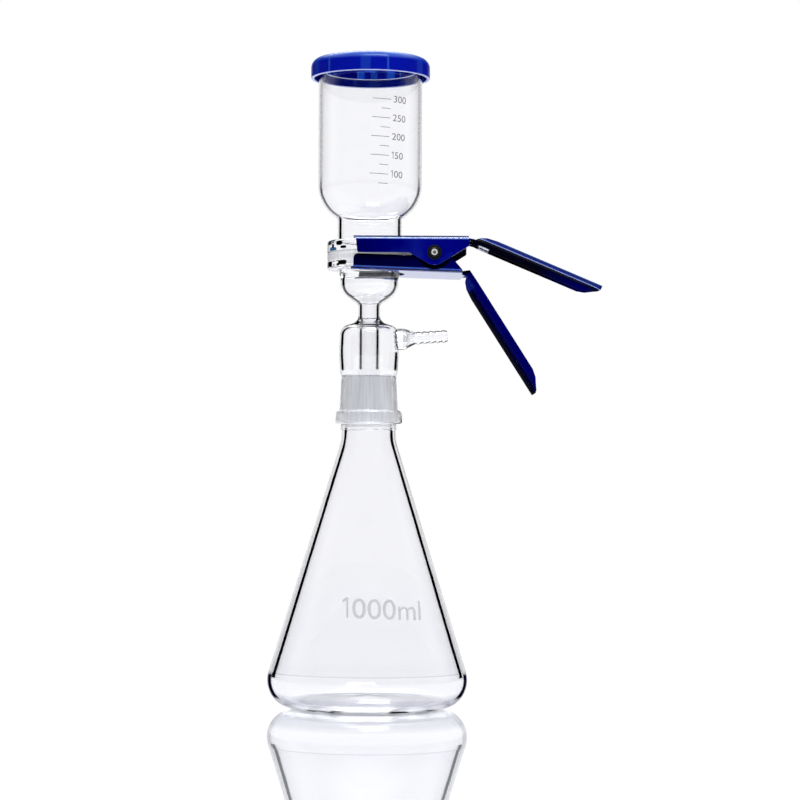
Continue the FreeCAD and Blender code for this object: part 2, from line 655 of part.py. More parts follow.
def torsion_spring():
    """Coils round the bush; a straight leg from each end pushes the inside of each web."""
    mean_r = BUSH_R + SPRING_GAP + SPRING_WIRE_R
    leg_angle = math.radians(SPRING_LEG_DEG)
    turns = SPRING_TURNS + 0.5 + SPRING_LEG_DEG / 180
    length = turns * SPRING_PITCH
    helix = Part.makeHelix(SPRING_PITCH, length, mean_r)
    climb = V(0, mean_r, SPRING_PITCH / (2 * math.pi)).normalize()
    end_turn = 2 * math.pi * turns
    end = V(mean_r * math.cos(end_turn), mean_r * math.sin(end_turn), length)
    leave = V(-math.sin(end_turn) * climb.y, math.cos(end_turn) * climb.y, climb.z)
    section = Part.Wire(Part.makeCircle(SPRING_WIRE_R, V(mean_r, 0, 0), climb))
    spring = Part.Wire(helix).makePipeShell([section], True, True)
    # height of a leg's root on the far side of the pivot, and the room up to each web
    root_drop = mean_r * math.cos(leg_angle)
    slack = SPRING_LEG_GAP + SPRING_WIRE_R * math.cos(leg_angle)
    upper_room = FUNNEL_FLANGE_TOP + HAIR - PIVOT.z
    tilt_loss = 2 * mean_r * math.tan(math.radians(LOWER_TILT_DEG))
    lower_room = lower_web() - SHEET - tilt_loss
    upper_leg = (upper_room - slack + root_drop) / math.sin(leg_angle)
    lower_leg = (lower_room - slack + root_drop) / math.sin(leg_angle)
    spring = spring.fuse(Part.makeCylinder(SPRING_WIRE_R, upper_leg, V(mean_r, 0, 0), -climb))
    spring = spring.fuse(Part.makeCylinder(SPRING_WIRE_R, lower_leg, end, leave))
    spring.rotate(V(0, 0, 0), V(1, 0, 0), -90)
    spring.translate(V(0, -length / 2, 0))
    spring.rotate(V(0, 0, 0), ACROSS, 90 - SPRING_LEG_DEG)
    return spring


def build():
    pieces = {
        "receiving_flask": receiving_flask(),
        "filter_base": filter_base(),
        "fritted_disc": fritted_disc(),
        "funnel": funnel(),
        "lid": lid(),
    }
    about_pivot = {
        "clamp_upper_lever": upper_lever(),
        "clamp_lower_lever": lower_lever(),
        "pivot_pin": pivot_pin(),
        "front_washer": washer(-1),
        "rear_washer": washer(1),
        "spring_bush": spring_bush(),
        "torsion_spring": torsion_spring(),
    }
    for name, shape in about_pivot.items():
        shape.translate(PIVOT)
        pieces[name] = shape
    return pieces


os.makedirs("parts", exist_ok=True)
for name, shape in build().items():
    shape.exportStep(f"parts/{name}.step")
    print(f"{name:20s} valid {shape.isValid()} solids {len(shape.Solids)} "
          f"volume {shape.Volume / 1000:.2f} cm3")
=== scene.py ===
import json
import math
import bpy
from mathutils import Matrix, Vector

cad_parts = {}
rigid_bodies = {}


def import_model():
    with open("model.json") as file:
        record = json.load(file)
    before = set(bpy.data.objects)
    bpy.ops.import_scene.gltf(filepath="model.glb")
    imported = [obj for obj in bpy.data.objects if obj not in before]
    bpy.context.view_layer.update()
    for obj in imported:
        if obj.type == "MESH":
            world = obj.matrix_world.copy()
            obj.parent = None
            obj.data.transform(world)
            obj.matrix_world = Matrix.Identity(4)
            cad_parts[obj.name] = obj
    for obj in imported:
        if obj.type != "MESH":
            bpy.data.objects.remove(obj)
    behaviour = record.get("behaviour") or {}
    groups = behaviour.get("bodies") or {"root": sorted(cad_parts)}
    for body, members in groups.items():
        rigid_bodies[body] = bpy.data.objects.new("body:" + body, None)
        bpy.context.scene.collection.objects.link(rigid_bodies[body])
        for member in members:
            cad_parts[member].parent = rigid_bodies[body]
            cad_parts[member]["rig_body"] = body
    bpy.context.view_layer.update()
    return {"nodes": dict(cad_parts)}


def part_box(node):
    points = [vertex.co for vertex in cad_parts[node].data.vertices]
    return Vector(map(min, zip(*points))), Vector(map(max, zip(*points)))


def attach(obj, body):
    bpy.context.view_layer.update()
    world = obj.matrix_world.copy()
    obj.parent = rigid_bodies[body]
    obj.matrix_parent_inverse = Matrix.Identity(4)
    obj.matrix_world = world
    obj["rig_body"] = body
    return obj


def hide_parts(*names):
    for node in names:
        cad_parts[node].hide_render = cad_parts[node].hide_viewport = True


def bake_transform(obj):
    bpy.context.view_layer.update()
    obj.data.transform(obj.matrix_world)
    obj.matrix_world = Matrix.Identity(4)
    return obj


bl_info = {
    "name": "Vacuum filtration unit",
    "version": (1, 0, 0),
    "blender": (4, 5, 0),
    "location": "View3D > Sidebar > Filtration",
    "description": "Dresses a glass vacuum filtration unit: flask, base, funnel, lid and spring clamp",
    "category": "Object",
}

import bmesh
import bpy
from bpy.props import FloatProperty, FloatVectorProperty, IntProperty, PointerProperty, StringProperty
from mathutils import Matrix, Vector
from mathutils.bvhtree import BVHTree

# Metres. +Z is up the glassware, +X points along the barb and the handles, and -Y is the front.
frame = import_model()
MM = 0.001
BEYOND = 1.0  # farther than any point of the unit
BLACK = (0.0, 0.0, 0.0)
WHITE = (1.0, 1.0, 1.0)

# Heights that the glass's looks are set out from, and its walls
JOINT_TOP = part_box("receiving_flask")[1].z
JOINT_FOOT = JOINT_TOP - 31.4 * MM  # foot of the flask's ground cone
SOCKET_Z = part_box("filter_base")[0].z
FACE_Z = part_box("filter_base")[1].z  # ground face of the base, which carries the funnel
FLANGE_TOP = FACE_Z + 9.2 * MM  # top of the funnel's flange
FLANGE_FOOT = FACE_Z - 12 * MM  # just below the base's flange
HEEL_TOP = 24 * MM  # where the flask's heel turns into its cone
FLASK_WALL = 2.2 * MM
GLASS_WALL = 2 * MM  # of the base and the funnel

# The zone in which the base's faces belong to its hose barb
BARB_START = 16.5 * MM  # from the axis to just inside the chamber's wall
PAST_CHAMBER = 21 * MM  # farther from the axis there is only the barb
BARB_HALF_WIDTH = 8 * MM
BARB_DROP = 30 * MM  # from the ground face down to the zone's top

# Letters: a 1 that starts a number is drawn in shares of its height
DIGIT_SHARE = 0.73  # height of a digit as a share of the letters' size
WIDENING = 1.08  # width of the print as a share of the letters' own
BOLDNESS = 0.004  # what a stroke gains on each side, as a share of the size
ONE_ADVANCE = 0.58  # where the digits after a 1 start
ONE_STEM = ((0.28, 0.0), (0.375, 0.0), (0.375, 1.0), (0.28, 1.0))
ONE_FLAG = ((0.08, 0.71), (0.28, 0.83), (0.28, 0.99), (0.08, 0.82))
PRINT_PROUD = 0.03 * MM  # how far the print stands off the glass

# Graduation: where marks and numbers start and end, to the right of its middle
MARK_THICKNESS = 0.42 * MM
MARK_END = 6.2 * MM
LONG_MARK_START = -6 * MM  # with a number; the other marks start in the middle
NUMBER_START = 7.8 * MM
NUMBER_DROP = 0.38  # a number's foot below its mark, as a share of the digits' height

WALL_EDGE = 0.8 * MM  # from a lever's side to where the painted shade of its inside starts


# ---- sizes and colours


class GlassLook(bpy.types.PropertyGroup):
    tint: FloatVectorProperty(
        name="Tint", description="What one surface of clear glass lets through",
        subtype="COLOR", min=0, max=1, default=(0.982, 0.983, 0.988))
    roughness: FloatProperty(
        name="Roughness", description="Roughness of the fire-polished surfaces",
        min=0, max=1, default=0.03)
    ior: FloatProperty(
        name="Index", description="Refractive index of borosilicate glass",
        min=1, max=2, default=1.47)
    ground_tint: FloatVectorProperty(
        name="Ground tint", description="Colour of the light that ground surfaces scatter",
        subtype="COLOR", min=0, max=1, default=(0.72, 0.73, 0.74))
    ground_milk: FloatProperty(
        name="Ground milk", description="Share of the light that ground surfaces scatter",
        min=0, max=1, default=0.3)
    ground_roughness: FloatProperty(
        name="Ground roughness", description="What grinding adds to the roughness",
        min=0, max=1, default=0.35)


class ClampLook(bpy.types.PropertyGroup):
    pivot: FloatVectorProperty(
        name="Pivot", description="Where the rivet is, across and up",
        size=2, precision=4, default=(0.0423, 0.2961))
    upper_root: FloatVectorProperty(
        name="Upper root", description="Where the upper handle starts, across and up",
        size=2, precision=4, default=(0.0692, 0.3071))
    upper_bend: FloatProperty(
        name="Upper bend", description="How far the upper handle slopes down",
        subtype="ANGLE", default=math.radians(22.8))
    lower_root: FloatVectorProperty(
        name="Lower root", description="Where the lower handle starts, across and up",
        size=2, precision=4, default=(0.0637, 0.2829))
    lower_tilt: FloatProperty(
        name="Lower tilt", description="How far the lower lever's web slopes down to its handle",
        subtype="ANGLE", default=math.radians(2))
    lower_bend: FloatProperty(
        name="Lower bend", description="How far the lower handle slopes down",
        subtype="ANGLE", default=math.radians(57.5))
    edge_round: FloatProperty(
        name="Edge rounding", description="Rounding of the sheet's cut edges under the enamel",
        unit="LENGTH", precision=5, min=0, max=0.001, default=0.0005)


class LidLook(bpy.types.PropertyGroup):
    plastic: FloatVectorProperty(
        name="Plastic", description="Colour of the lid",
        subtype="COLOR", min=0, max=1, default=(0.0004, 0.003, 0.28))
    skirt_end: FloatProperty(
        name="Skirt end", description="Height of the skirt's lower edge",
        unit="LENGTH", precision=4, default=0.4132)
    plug_end: FloatProperty(
        name="Plug end", description="Height of the plug ring's lower edge",
        unit="LENGTH", precision=4, default=0.4176)


class PrintLook(bpy.types.PropertyGroup):
    capacity: StringProperty(
        name="Capacity", description="Words printed on the flask", default="1000ml")
    capacity_height: FloatProperty(
        name="Capacity height", description="Height of the flask's digits",
        unit="LENGTH", precision=4, default=0.0131)
    capacity_place: FloatVectorProperty(
        name="Capacity place", description="Angle round the flask and height of the words' middle",
        size=2, default=(math.radians(11.5), 0.0668))
    capacity_ink: FloatVectorProperty(
        name="Capacity ink", description="Colour of the flask's print",
        subtype="COLOR", min=0, max=1, default=(0.45, 0.46, 0.49))
    scale_ink: FloatVectorProperty(
        name="Scale ink", description="Colour of the funnel's graduation",
        subtype="COLOR", min=0, max=1, default=(0.16, 0.16, 0.17))
    scale_angle: FloatProperty(
        name="Scale angle", description="Angle round the funnel to the graduation",
        subtype="ANGLE", default=math.radians(11.5))
    scale_drop: FloatProperty(
        name="Scale drop", description="From the funnel's rim down to the highest mark",
        unit="LENGTH", precision=4, default=0.0272)
    scale_top: IntProperty(
        name="Highest mark", description="Volume of the highest mark in millilitres", default=300)
    scale_bottom: IntProperty(
        name="Lowest mark", description="Volume of the lowest mark in millilitres", default=75)
    scale_step: IntProperty(
        name="Step", description="Volume between two marks in millilitres", default=25)
    mark_pitch: FloatProperty(
        name="Mark pitch", description="Height between two marks",
        unit="LENGTH", precision=5, default=0.0061)
    digit_height: FloatProperty(
        name="Digit height", description="Height of the graduation's digits",
        unit="LENGTH", precision=4, default=0.0046)
    lean: FloatProperty(
        name="Lean", description="How far the print leans to the right",
        subtype="ANGLE", default=math.radians(2.2))


class StageLook(bpy.types.PropertyGroup):
    distance: FloatProperty(
        name="Camera distance", description="From the lens to the unit's axis",
        unit="LENGTH", default=1.7)
    height: FloatProperty(
        name="Camera height", description="Height of the lens above the floor",
        unit="LENGTH", default=0.136)
    side: FloatProperty(
        name="Camera side step", description="How far the lens is to the right of the axis",
        unit="LENGTH", default=0.0205)
    tilt: FloatProperty(
        name="Camera tilt", description="How far the camera looks up",
        subtype="ANGLE", default=math.radians(2.21))
    roll: FloatProperty(
        name="Camera roll", description="How far the camera is turned about its view",
        subtype="ANGLE", default=math.radians(0.29))
    lens: FloatProperty(
        name="Focal length", description="Focal length in millimetres", default=116.55)


# ---- shader helpers


def add(tree, kind, inputs=None, **settings):
    """A new node; its inputs are other nodes' outputs, (r, g, b) colours or plain values."""
    made = tree.nodes.new(kind)
    for key, value in settings.items():
        setattr(made, key, value)
    for key, value in (inputs or {}).items():
        socket = made.inputs[key]
        if isinstance(value, bpy.types.NodeSocket):
            tree.links.new(value, socket)
        elif socket.type == "RGBA":
            socket.default_value = (*value, 1)
        else:
            socket.default_value = value
    return made


def calc(tree, operation, a, b=0.0, c=0.0, clamp=False):
    """One step of arithmetic."""
    return add(tree, "ShaderNodeMath", {0: a, 1: b, 2: c},
               operation=operation, use_clamp=clamp).outputs[0]


def vector(tree, operation, a, b):
    """One step of vector arithmetic."""
    return add(tree, "ShaderNodeVectorMath", {0: a, 1: b}, operation=operation)


def every(tree, share, *others):
    """The product of these shares: 1 only where each of them is 1."""
    for other in others:
        share = calc(tree, "MULTIPLY", share, other)
    return share


def without(tree, share):
    """What is left of 1 without this share."""
    return calc(tree, "SUBTRACT", 1.0, share)


def mix(tree, factor, a, b):
    """Colour a where factor is 0 and b where it is 1."""
    return add(tree, "ShaderNodeMix", {0: factor, 6: a, 7: b}, data_type="RGBA").outputs[2]


def mix_shaders(tree, factor, a, b):
    """Shader a where factor is 0 and b where it is 1."""
    return add(tree, "ShaderNodeMixShader", {0: factor, 1: a, 2: b}).outputs[0]


def ramp(tree, factor, stops):
    """Colour ramp with these (position, grey or colour) stops."""
    made = add(tree, "ShaderNodeValToRGB", {"Fac": factor})
    band = made.color_ramp
    while len(band.elements) < len(stops):
        band.elements.new(0.5)
    for element, (position, tone) in zip(band.elements, stops):
        element.position = position
        element.color = (*tone, 1) if isinstance(tone, tuple) else (tone, tone, tone, 1)
    return made.outputs["Color"]


def slide(tree, value, start, end, low=0.0, high=1.0):
    """Goes from low to high as the value goes from start to end."""
    return add(tree, "ShaderNodeMapRange", {
        "Value": value, "From Min": start, "From Max": end, "To Min": low, "To Max": high}).outputs[0]


def graded(tree, value, stops):
    """Colour ramp whose stops lie at values of their own, lowest first."""
    low, high = stops[0][0], stops[-1][0]
    share = slide(tree, value, low, high)
    return ramp(tree, share, [((at - low) / (high - low), tone) for at, tone in stops])


def within(tree, value, low, high, soft):
    """1 between low and high, falling to 0 over soft outside them."""
    return every(tree, slide(tree, value, low - soft, low),
                 slide(tree, value, high, high + soft, 1.0, 0.0))


def place(tree):
    """Object coordinates: in this unit the object's frame is the row's frame."""
    return tree.nodes.new("ShaderNodeTexCoord").outputs["Object"]


def component(tree, arrow, axis):
    """The X, Y or Z of a vector."""
    return add(tree, "ShaderNodeSeparateXYZ", {"Vector": arrow}).outputs[axis]


def coordinate(tree, axis):
    """How far along X, Y or Z the surface is."""
    return component(tree, place(tree), axis)


def distance(tree, point, counted=(1, 1, 1)):
    """How far the surface is from a point, along the axes that are counted."""
    flat = vector(tree, "MULTIPLY", place(tree), counted).outputs[0]
    return vector(tree, "DISTANCE", flat, point).outputs["Value"]


def noise(tree, scale, detail=2.0):
    """Cloudy noise, the finer the larger its scale; one scale for each axis makes streaks."""
    spot = place(tree)
    if isinstance(scale, tuple):
        spot = add(tree, "ShaderNodeMapping", {"Vector": spot, "Scale": scale}).outputs[0]
        scale = 1.0
    grain = add(tree, "ShaderNodeTexNoise", {"Vector": spot, "Scale": scale, "Detail": detail})
    return grain.outputs["Fac"]


def uneven(tree, height, strength, deep, normal=None):
    """Normal of a surface that rises and falls with this height."""
    inputs = {"Height": height, "Strength": strength, "Distance": deep}
    if normal:
        inputs["Normal"] = normal
    return add(tree, "ShaderNodeBump", inputs).outputs[0]


def edge_on(tree):
    """0 where a face is seen square and 1 where it is seen edge on."""
    return add(tree, "ShaderNodeLayerWeight", {"Blend": 0.5}).outputs["Facing"]


def ray(tree, name):
    """What the light path tells of the ray that arrives."""
    return tree.nodes.new("ShaderNodeLightPath").outputs[name]


def material(name):
    """An empty node material and its tree."""
    made = bpy.data.materials.new(name)
    made.use_nodes = True
    made.node_tree.nodes.clear()
    return made, made.node_tree


def show(tree, surface):
    """Makes this shader the material's surface."""
    add(tree, "ShaderNodeOutputMaterial", {"Surface": surface})


def shader(tree, kind, **inputs):
    """A shader; its inputs are named in small letters, with underscores for spaces."""
    named = {key.replace("_", " ").title().replace("Ior", "IOR"): value for key, value in inputs.items()}
    return add(tree, "ShaderNode" + kind, named).outputs[0]


def opaque(tree, **inputs):
    """Makes an opaque shader with these inputs the material's surface."""
    show(tree, shader(tree, "BsdfPrincipled", **inputs))


# ---- glass


def inset_of(tree, wall, ior):
    """How far inside its outline, in metres, a wall of this thickness is seen: 0 where its
    outer face turns away. Only true on the wall's inner face, for light inside the glass."""
    radius = calc(tree, "MAXIMUM", distance(tree, (0, 0, 0), (1, 1, 0)), 5 * MM)
    shape = tree.nodes.new("ShaderNodeNewGeometry")
    upright = component(tree, shape.outputs["Normal"], "Z")
    level = calc(tree, "SQRT", without(tree, every(tree, upright, upright)))
    bend = calc(tree, "DIVIDE", radius, calc(tree, "MAXIMUM", level, 0.3))
    cosine = without(tree, edge_on(tree))
    sine = calc(tree, "SQRT", calc(tree, "SUBTRACT", 1.0, every(tree, cosine, cosine), clamp=True))
    return calc(tree, "MULTIPLY_ADD", bend, without(tree, every(tree, sine, ior)), wall), radius


def rim_line(tree, look, line):
    """Tint of a wall's inner face: a painted dark line, in place of the dark room that the edge of a
    tube shows. The line's near edge and width are lengths, each with what it gains on a metre of
    radius. black and seen are (low, high, soft) heights at which it is black or there at all; gap is
    left out of it."""
    inset, radius = inset_of(tree, line["wall"], look.ior)
    near, width = [calc(tree, "MULTIPLY_ADD", radius, gain, length)
                   for length, gain in (line["near"], line["width"])]
    share = calc(tree, "DIVIDE", calc(tree, "SUBTRACT", inset, near), width)
    # -1 is a width outside the line, 0 to 1 the line and 7 where its fringe has gone
    black = graded(tree, share, [
        (-1, 1.0), (-0.2, 0.95), (0, 0.0), (1, 0.0), (1.2, 0.8), (2.2, 0.93), (5, 0.98), (7, 1.0)])
    soft = graded(tree, share, [
        (-1, 0.97), (-0.2, 0.93), (0.28, 0.62), (1, 0.66), (1.56, 0.84), (2.6, 0.9), (5, 0.97), (7, 1.0)])
    height = coordinate(tree, "Z")
    there = within(tree, height, *line["seen"])
    if "gap" in line:
        left, right, low, high = line["gap"]
        hole = every(tree, within(tree, coordinate(tree, "X"), left, right, MM),
                     within(tree, height, low, high, 0.5 * MM))
        there = calc(tree, "SUBTRACT", there, hole, clamp=True)
    tone = mix(tree, within(tree, height, *line["black"]), soft, black)
    return mix(tree, there, (0.985, 0.985, 0.99), tone)


def heel(tree, colour, height):
    """Tint of the flask's heel: painted shade, dark where it turns away, in place of the dark room
    that its curve shows, and painted flecks of contact shadow where it stands.
    """
    mirrored = every(tree, ray(tree, "Is Glossy Ray"), 0.8)
    direct = calc(tree, "SUBTRACT", without(tree, ray(tree, "Is Transmission Ray")), mirrored)
    # painted dark band where the heel is seen edge on
    turned = ramp(tree, edge_on(tree), [
        (0.0, 0.0), (0.7, 0.0), (0.74, 1.0), (0.85, 1.0), (0.88, 0.25), (1.0, 0.15)])
    painted_heel_shade = every(tree, within(tree, height, 8.5 * MM, 22.5 * MM, 1.5 * MM), turned, direct)
    colour = mix(tree, painted_heel_shade, colour, (0.0, 0.0, 0.01))
    # painted flecks of contact shadow along the foot
    painted_contact_shadow = ramp(tree, noise(tree, (110, 110, 500)), [(0.0, 0.0), (0.5, 0.0), (0.53, 1.0)])
    foot = within(tree, height, -MM, 1.8 * MM, 0.3 * MM)
    beside = within(tree, calc(tree, "ABSOLUTE", coordinate(tree, "X")), 16 * MM, 44 * MM, 2 * MM)
    return mix(tree, every(tree, painted_contact_shadow, foot, beside, direct), colour, BLACK)


def beside_turn(tree, angle):
    """Angle past this one, to the right of the front, that starts again every sixth of a turn."""
    back = calc(tree, "MULTIPLY", coordinate(tree, "Y"), -1.0)
    around = calc(tree, "ARCTAN2", coordinate(tree, "X"), back)
    half = math.radians(30)
    return calc(tree, "WRAP", calc(tree, "SUBTRACT", around, angle), half, -half)


def blotted(tree, colour, arriving, painted_reflection):
    """Adds a painted dark reflection with round corners, at (degrees, height) with half its size in the
    same measures, that comes back every sixth of the way round."""
    degrees, height, half_degrees, half_height, tone = painted_reflection
    aside = calc(tree, "DIVIDE", beside_turn(tree, math.radians(degrees)), math.radians(half_degrees))
    over = calc(tree, "DIVIDE", calc(tree, "SUBTRACT", coordinate(tree, "Z"), height), half_height)
    far = calc(tree, "ADD", calc(tree, "POWER", calc(tree, "ABSOLUTE", aside), 3.0),
               calc(tree, "POWER", calc(tree, "ABSOLUTE", over), 3.0))
    inside = graded(tree, far, [(0.8, 1.0), (1.2, 0.0)])
    return mix(tree, every(tree, inside, arriving), colour, tone)


def ground_streaks(tree, colour, dull, height, top):
    """Tint of ground glass: upright streaks, and a dark line at its upper end."""
    streaks = ramp(tree, noise(tree, (700, 700, 10), 4.0), [(0.3, 0.78), (0.7, 1.0)])
    colour = mix(tree, dull, colour, streaks)
    upper_end = within(tree, height, top - 0.7 * MM, top - 0.3 * MM, 0.2 * MM)
    return mix(tree, upper_end, colour, (0.45, 0.46, 0.5))


def milky(tree, look, dull, surface):
    """The surface with the light that its ground zone scatters to both sides."""
    face = shader(tree, "BsdfDiffuse", color=look.ground_tint)
    through = shader(tree, "BsdfTranslucent", color=look.ground_tint)
    scattered = mix_shaders(tree, 0.5, face, through)
    return mix_shaders(tree, every(tree, dull, look.ground_milk), surface, scattered)


def show_clear(tree, surface):
    """Makes this shader the material's surface, and lets most of the light through its shadow."""
    clear = shader(tree, "BsdfTransparent", color=(0.92, 0.92, 0.94))
    show(tree, mix_shaders(tree, ray(tree, "Is Shadow Ray"), surface, clear))


def glass(name, look, ground=None, line=None, painted_light_and_shade_bands=(), painted_reflections=(), standing=False):
    """Clear glass. ground is the heights between which it is ground dull, line tells the painted dark
    line along its edges, painted_light_and_shade_bands are (low, high, soft, tint) of painted shade and
    light on an outer face, painted_reflections are painted dark reflections of the room in a flange's
    rim, and standing glass has a heel with painted shade."""
    made, tree = material(name)
    through = ray(tree, "Is Transmission Ray")
    height = coordinate(tree, "Z")
    # the inner face, seen through the glass, gets the painted dark edge line
    if line:
        shape = tree.nodes.new("ShaderNodeNewGeometry")
        seen = every(tree, through, shape.outputs["Backfacing"])
        colour = mix(tree, seen, look.tint, rim_line(tree, look, line))
    else:
        # painted grey where the glass is seen edge on, in place of the dark room its edges show
        painted_edge_shade = ramp(tree, edge_on(tree), [(0.0, 0.0), (0.88, 0.0), (1.0, 1.0)])
        colour = mix(tree, painted_edge_shade, look.tint, (0.72, 0.73, 0.77))
    arriving = without(tree, through)
    # painted shade and light in bands round the outer face
    for low, high, soft, tone in painted_light_and_shade_bands:
        share = every(tree, within(tree, height, low, high, soft), arriving)
        colour = mix(tree, share, colour, tone)
    if standing:
        colour = heel(tree, colour, height)
    # painted reflections of the dark room in a flange's rim
    for painted_reflection in painted_reflections:
        colour = blotted(tree, colour, arriving, painted_reflection)
    roughness = look.roughness
    if ground:
        low, high = ground
        dull = within(tree, height, low, high, 0.15 * MM)
        colour = ground_streaks(tree, colour, dull, height, high)
        roughness = calc(tree, "MULTIPLY_ADD", dull, look.ground_roughness, look.roughness)
    surface = shader(tree, "BsdfGlass", color=colour, roughness=roughness, ior=look.ior)
    if ground:
        surface = milky(tree, look, dull, surface)
    show_clear(tree, surface)
    return made


def hose_glass(look):
    """Glass of the hose barb: painted dark where it is seen edge on, with painted grey lines at its
    ridges, in place of the dark room that its edges and ridges show.
    """
    made, tree = material("hose_barb_glass")
    # painted dark edges where the barb is seen edge on
    turned = ramp(tree, edge_on(tree), [(0.0, 1.0), (0.3, 0.97), (0.42, 0.42), (0.7, 0.14), (1.0, 0.1)])
    colour = mix(tree, ray(tree, "Is Transmission Ray"), turned, look.tint)
    across = coordinate(tree, "X")
    # painted grey lines of shade at the ridges
    for end in (PAST_CHAMBER + 1.6 * MM, PAST_CHAMBER + 3.6 * MM):
        ring = every(tree, within(tree, across, end, end + 0.3 * MM, 0.3 * MM), 0.4)
        colour = mix(tree, ring, colour, (0.3, 0.3, 0.33))
    body = shader(tree, "BsdfGlass", color=colour, roughness=look.roughness, ior=look.ior)
    show_clear(tree, body)
    return made


def flask_looks(look):
    """Glass of the flask's outside, with painted shade and light in bands from its foot up its cone,
    and of its inside, with a painted dark line along its edges.
    """
    # painted shade bands; the last one paints the foot white, as painted light
    painted_light_and_shade_bands = ((HEEL_TOP, 190 * MM, 4 * MM, (0.96, 0.96, 0.966)),
             (HEEL_TOP, 50 * MM, 60 * MM, (0.925, 0.927, 0.94)),
             (HEEL_TOP, HEEL_TOP + MM, 12 * MM, (0.89, 0.89, 0.91)),
             (-5 * MM, HEEL_TOP - 0.4 * MM, 0.1 * MM, (0.925, 0.925, 0.935)),
             (HEEL_TOP - 0.3 * MM, HEEL_TOP + 0.1 * MM, 0.1 * MM, (0.72, 0.72, 0.74)),
             (4 * MM, 7.5 * MM, 4 * MM, (0.74, 0.745, 0.77)),
             (-5 * MM, 2 * MM, 0.6 * MM, WHITE))
    line_start = HEEL_TOP - 3 * MM
    line = {"wall": FLASK_WALL, "near": (1.7 * MM, 0.026), "width": (1.3 * MM, 0.004),
            "black": (line_start, JOINT_FOOT - 3 * MM, 0.3 * MM),
            "seen": (line_start, JOINT_FOOT, 0.3 * MM)}
    ground = (JOINT_FOOT, JOINT_TOP + MM)
    return [glass("flask_glass_outside", look, ground, painted_light_and_shade_bands=painted_light_and_shade_bands, standing=True),
            glass("flask_glass_inside", look, line=line)]


def base_looks(look):
    """Glass of the base's outside, ground at the face and with painted dark reflections in its flange's
    rim, of its inside, ground at the socket, and of its barb. The painted edge line leaves out
    where the barb meets the chamber."""
    # painted dark reflections of the room in the flange's rim
    painted_reflections = ((-67, FACE_Z - 6.6 * MM, 6, 1.7 * MM, BLACK), (-39.5, FACE_Z - 6.2 * MM, 7.5, 1.5 * MM, BLACK))
    zone = (JOINT_TOP + 4 * MM, FLANGE_FOOT, 0.3 * MM)
    line = {"wall": GLASS_WALL, "near": (1.0 * MM, 0.012), "width": (1.2 * MM, 0.004),
            "black": zone, "seen": zone,
            "gap": (13 * MM, BEYOND, JOINT_TOP + 16 * MM, JOINT_TOP + 32 * MM)}
    face = (FACE_Z - 3.5 * MM, FACE_Z + MM)
    socket = (SOCKET_Z - MM, JOINT_TOP + 0.2 * MM)
    return [glass("filter_base_glass_outside", look, face, painted_reflections=painted_reflections),
            glass("filter_base_glass_inside", look, socket, line), hose_glass(look)]


def funnel_looks(look):
    """Glass of the funnel's outside, ground at the flange, with a painted grey band and painted
    reflections in the flange's rim, and of its inside. The painted edge line is black up the shoulder
    and grey above it, and leaves out the middle where the neck widens."""
    # a painted grey band of shade round the funnel's outside
    painted_light_and_shade_bands = ((FACE_Z + 31 * MM, FACE_Z + 44 * MM, 3 * MM, (0.94, 0.941, 0.95)),)
    # painted reflections in the flange's rim, two black and two dark blue
    painted_reflections = ((-45, FACE_Z + 6.6 * MM, 6, 1.5 * MM, BLACK), (-37.5, FACE_Z + 3.8 * MM, 5, 0.9 * MM, BLACK),
             (-59.5, FACE_Z + 2.9 * MM, 9, 1.3 * MM, (0.03, 0.14, 0.35)),
             (-66, FACE_Z + 8.6 * MM, 12, 0.7 * MM, (0.03, 0.07, 0.12)))
    line = {"wall": GLASS_WALL, "near": (1.2 * MM, 0.0), "width": (1.2 * MM, 0.0),
            "black": (FLANGE_TOP, FACE_Z + 38 * MM, 14 * MM), "seen": (FLANGE_TOP, BEYOND, MM),
            "gap": (-15 * MM, 15 * MM, FACE_Z + 20 * MM, FACE_Z + 27 * MM)}
    face = (FACE_Z - MM, FACE_Z + 2 * MM)
    return [glass("funnel_glass_outside", look, face, painted_light_and_shade_bands=painted_light_and_shade_bands, painted_reflections=painted_reflections),
            glass("funnel_glass_inside", look, line=line)]


def sinter():
    """White sintered glass: fused grains."""
    made, tree = material("sintered_glass")
    grain = add(tree, "ShaderNodeTexVoronoi", {"Vector": place(tree), "Scale": 2600.0})
    grain = grain.outputs["Distance"]
    colour = ramp(tree, grain, [(0.0, (0.93, 0.93, 0.92)), (1.0, (0.74, 0.74, 0.72))])
    opaque(tree, base_color=colour, roughness=0.85, specular_ior_level=0.3,
           normal=uneven(tree, grain, 0.5, 0.2 * MM))
    return made


def print_ink(name, colour):
    """Fired enamel print: matt, slightly uneven in cover."""
    made, tree = material(name)
    pale = [min(1.0, 1.2 * c) for c in colour]
    cover = mix(tree, noise(tree, 900.0), colour, pale)
    opaque(tree, base_color=cover, roughness=0.6, specular_ior_level=0.1)
    return made


# ---- enamel, plastic and steel


def lever_frame(tree, root, bend, side):
    """Distance along a handle from its root and height on its crowned side."""
    off = vector(tree, "SUBTRACT", place(tree), (root[0], 0, root[1])).outputs[0]
    along = vector(tree, "DOT_PRODUCT", off, (math.cos(bend), 0, -math.sin(bend)))
    crown = vector(tree, "DOT_PRODUCT", off, (side * math.sin(bend), 0, side * math.cos(bend)))
    return along.outputs["Value"], crown.outputs["Value"]


def inner_face(tree, outer, over_web):
    """1 inside the channel, where painted shade goes: short of the walls' outer faces and under the
    web's.
    """
    between = within(tree, coordinate(tree, "Y"), WALL_EDGE - outer, outer - WALL_EDGE, 0.2 * MM)
    return every(tree, between, graded(tree, over_web, [(-0.8 * MM, 1.0), (-0.3 * MM, 0.0)]))


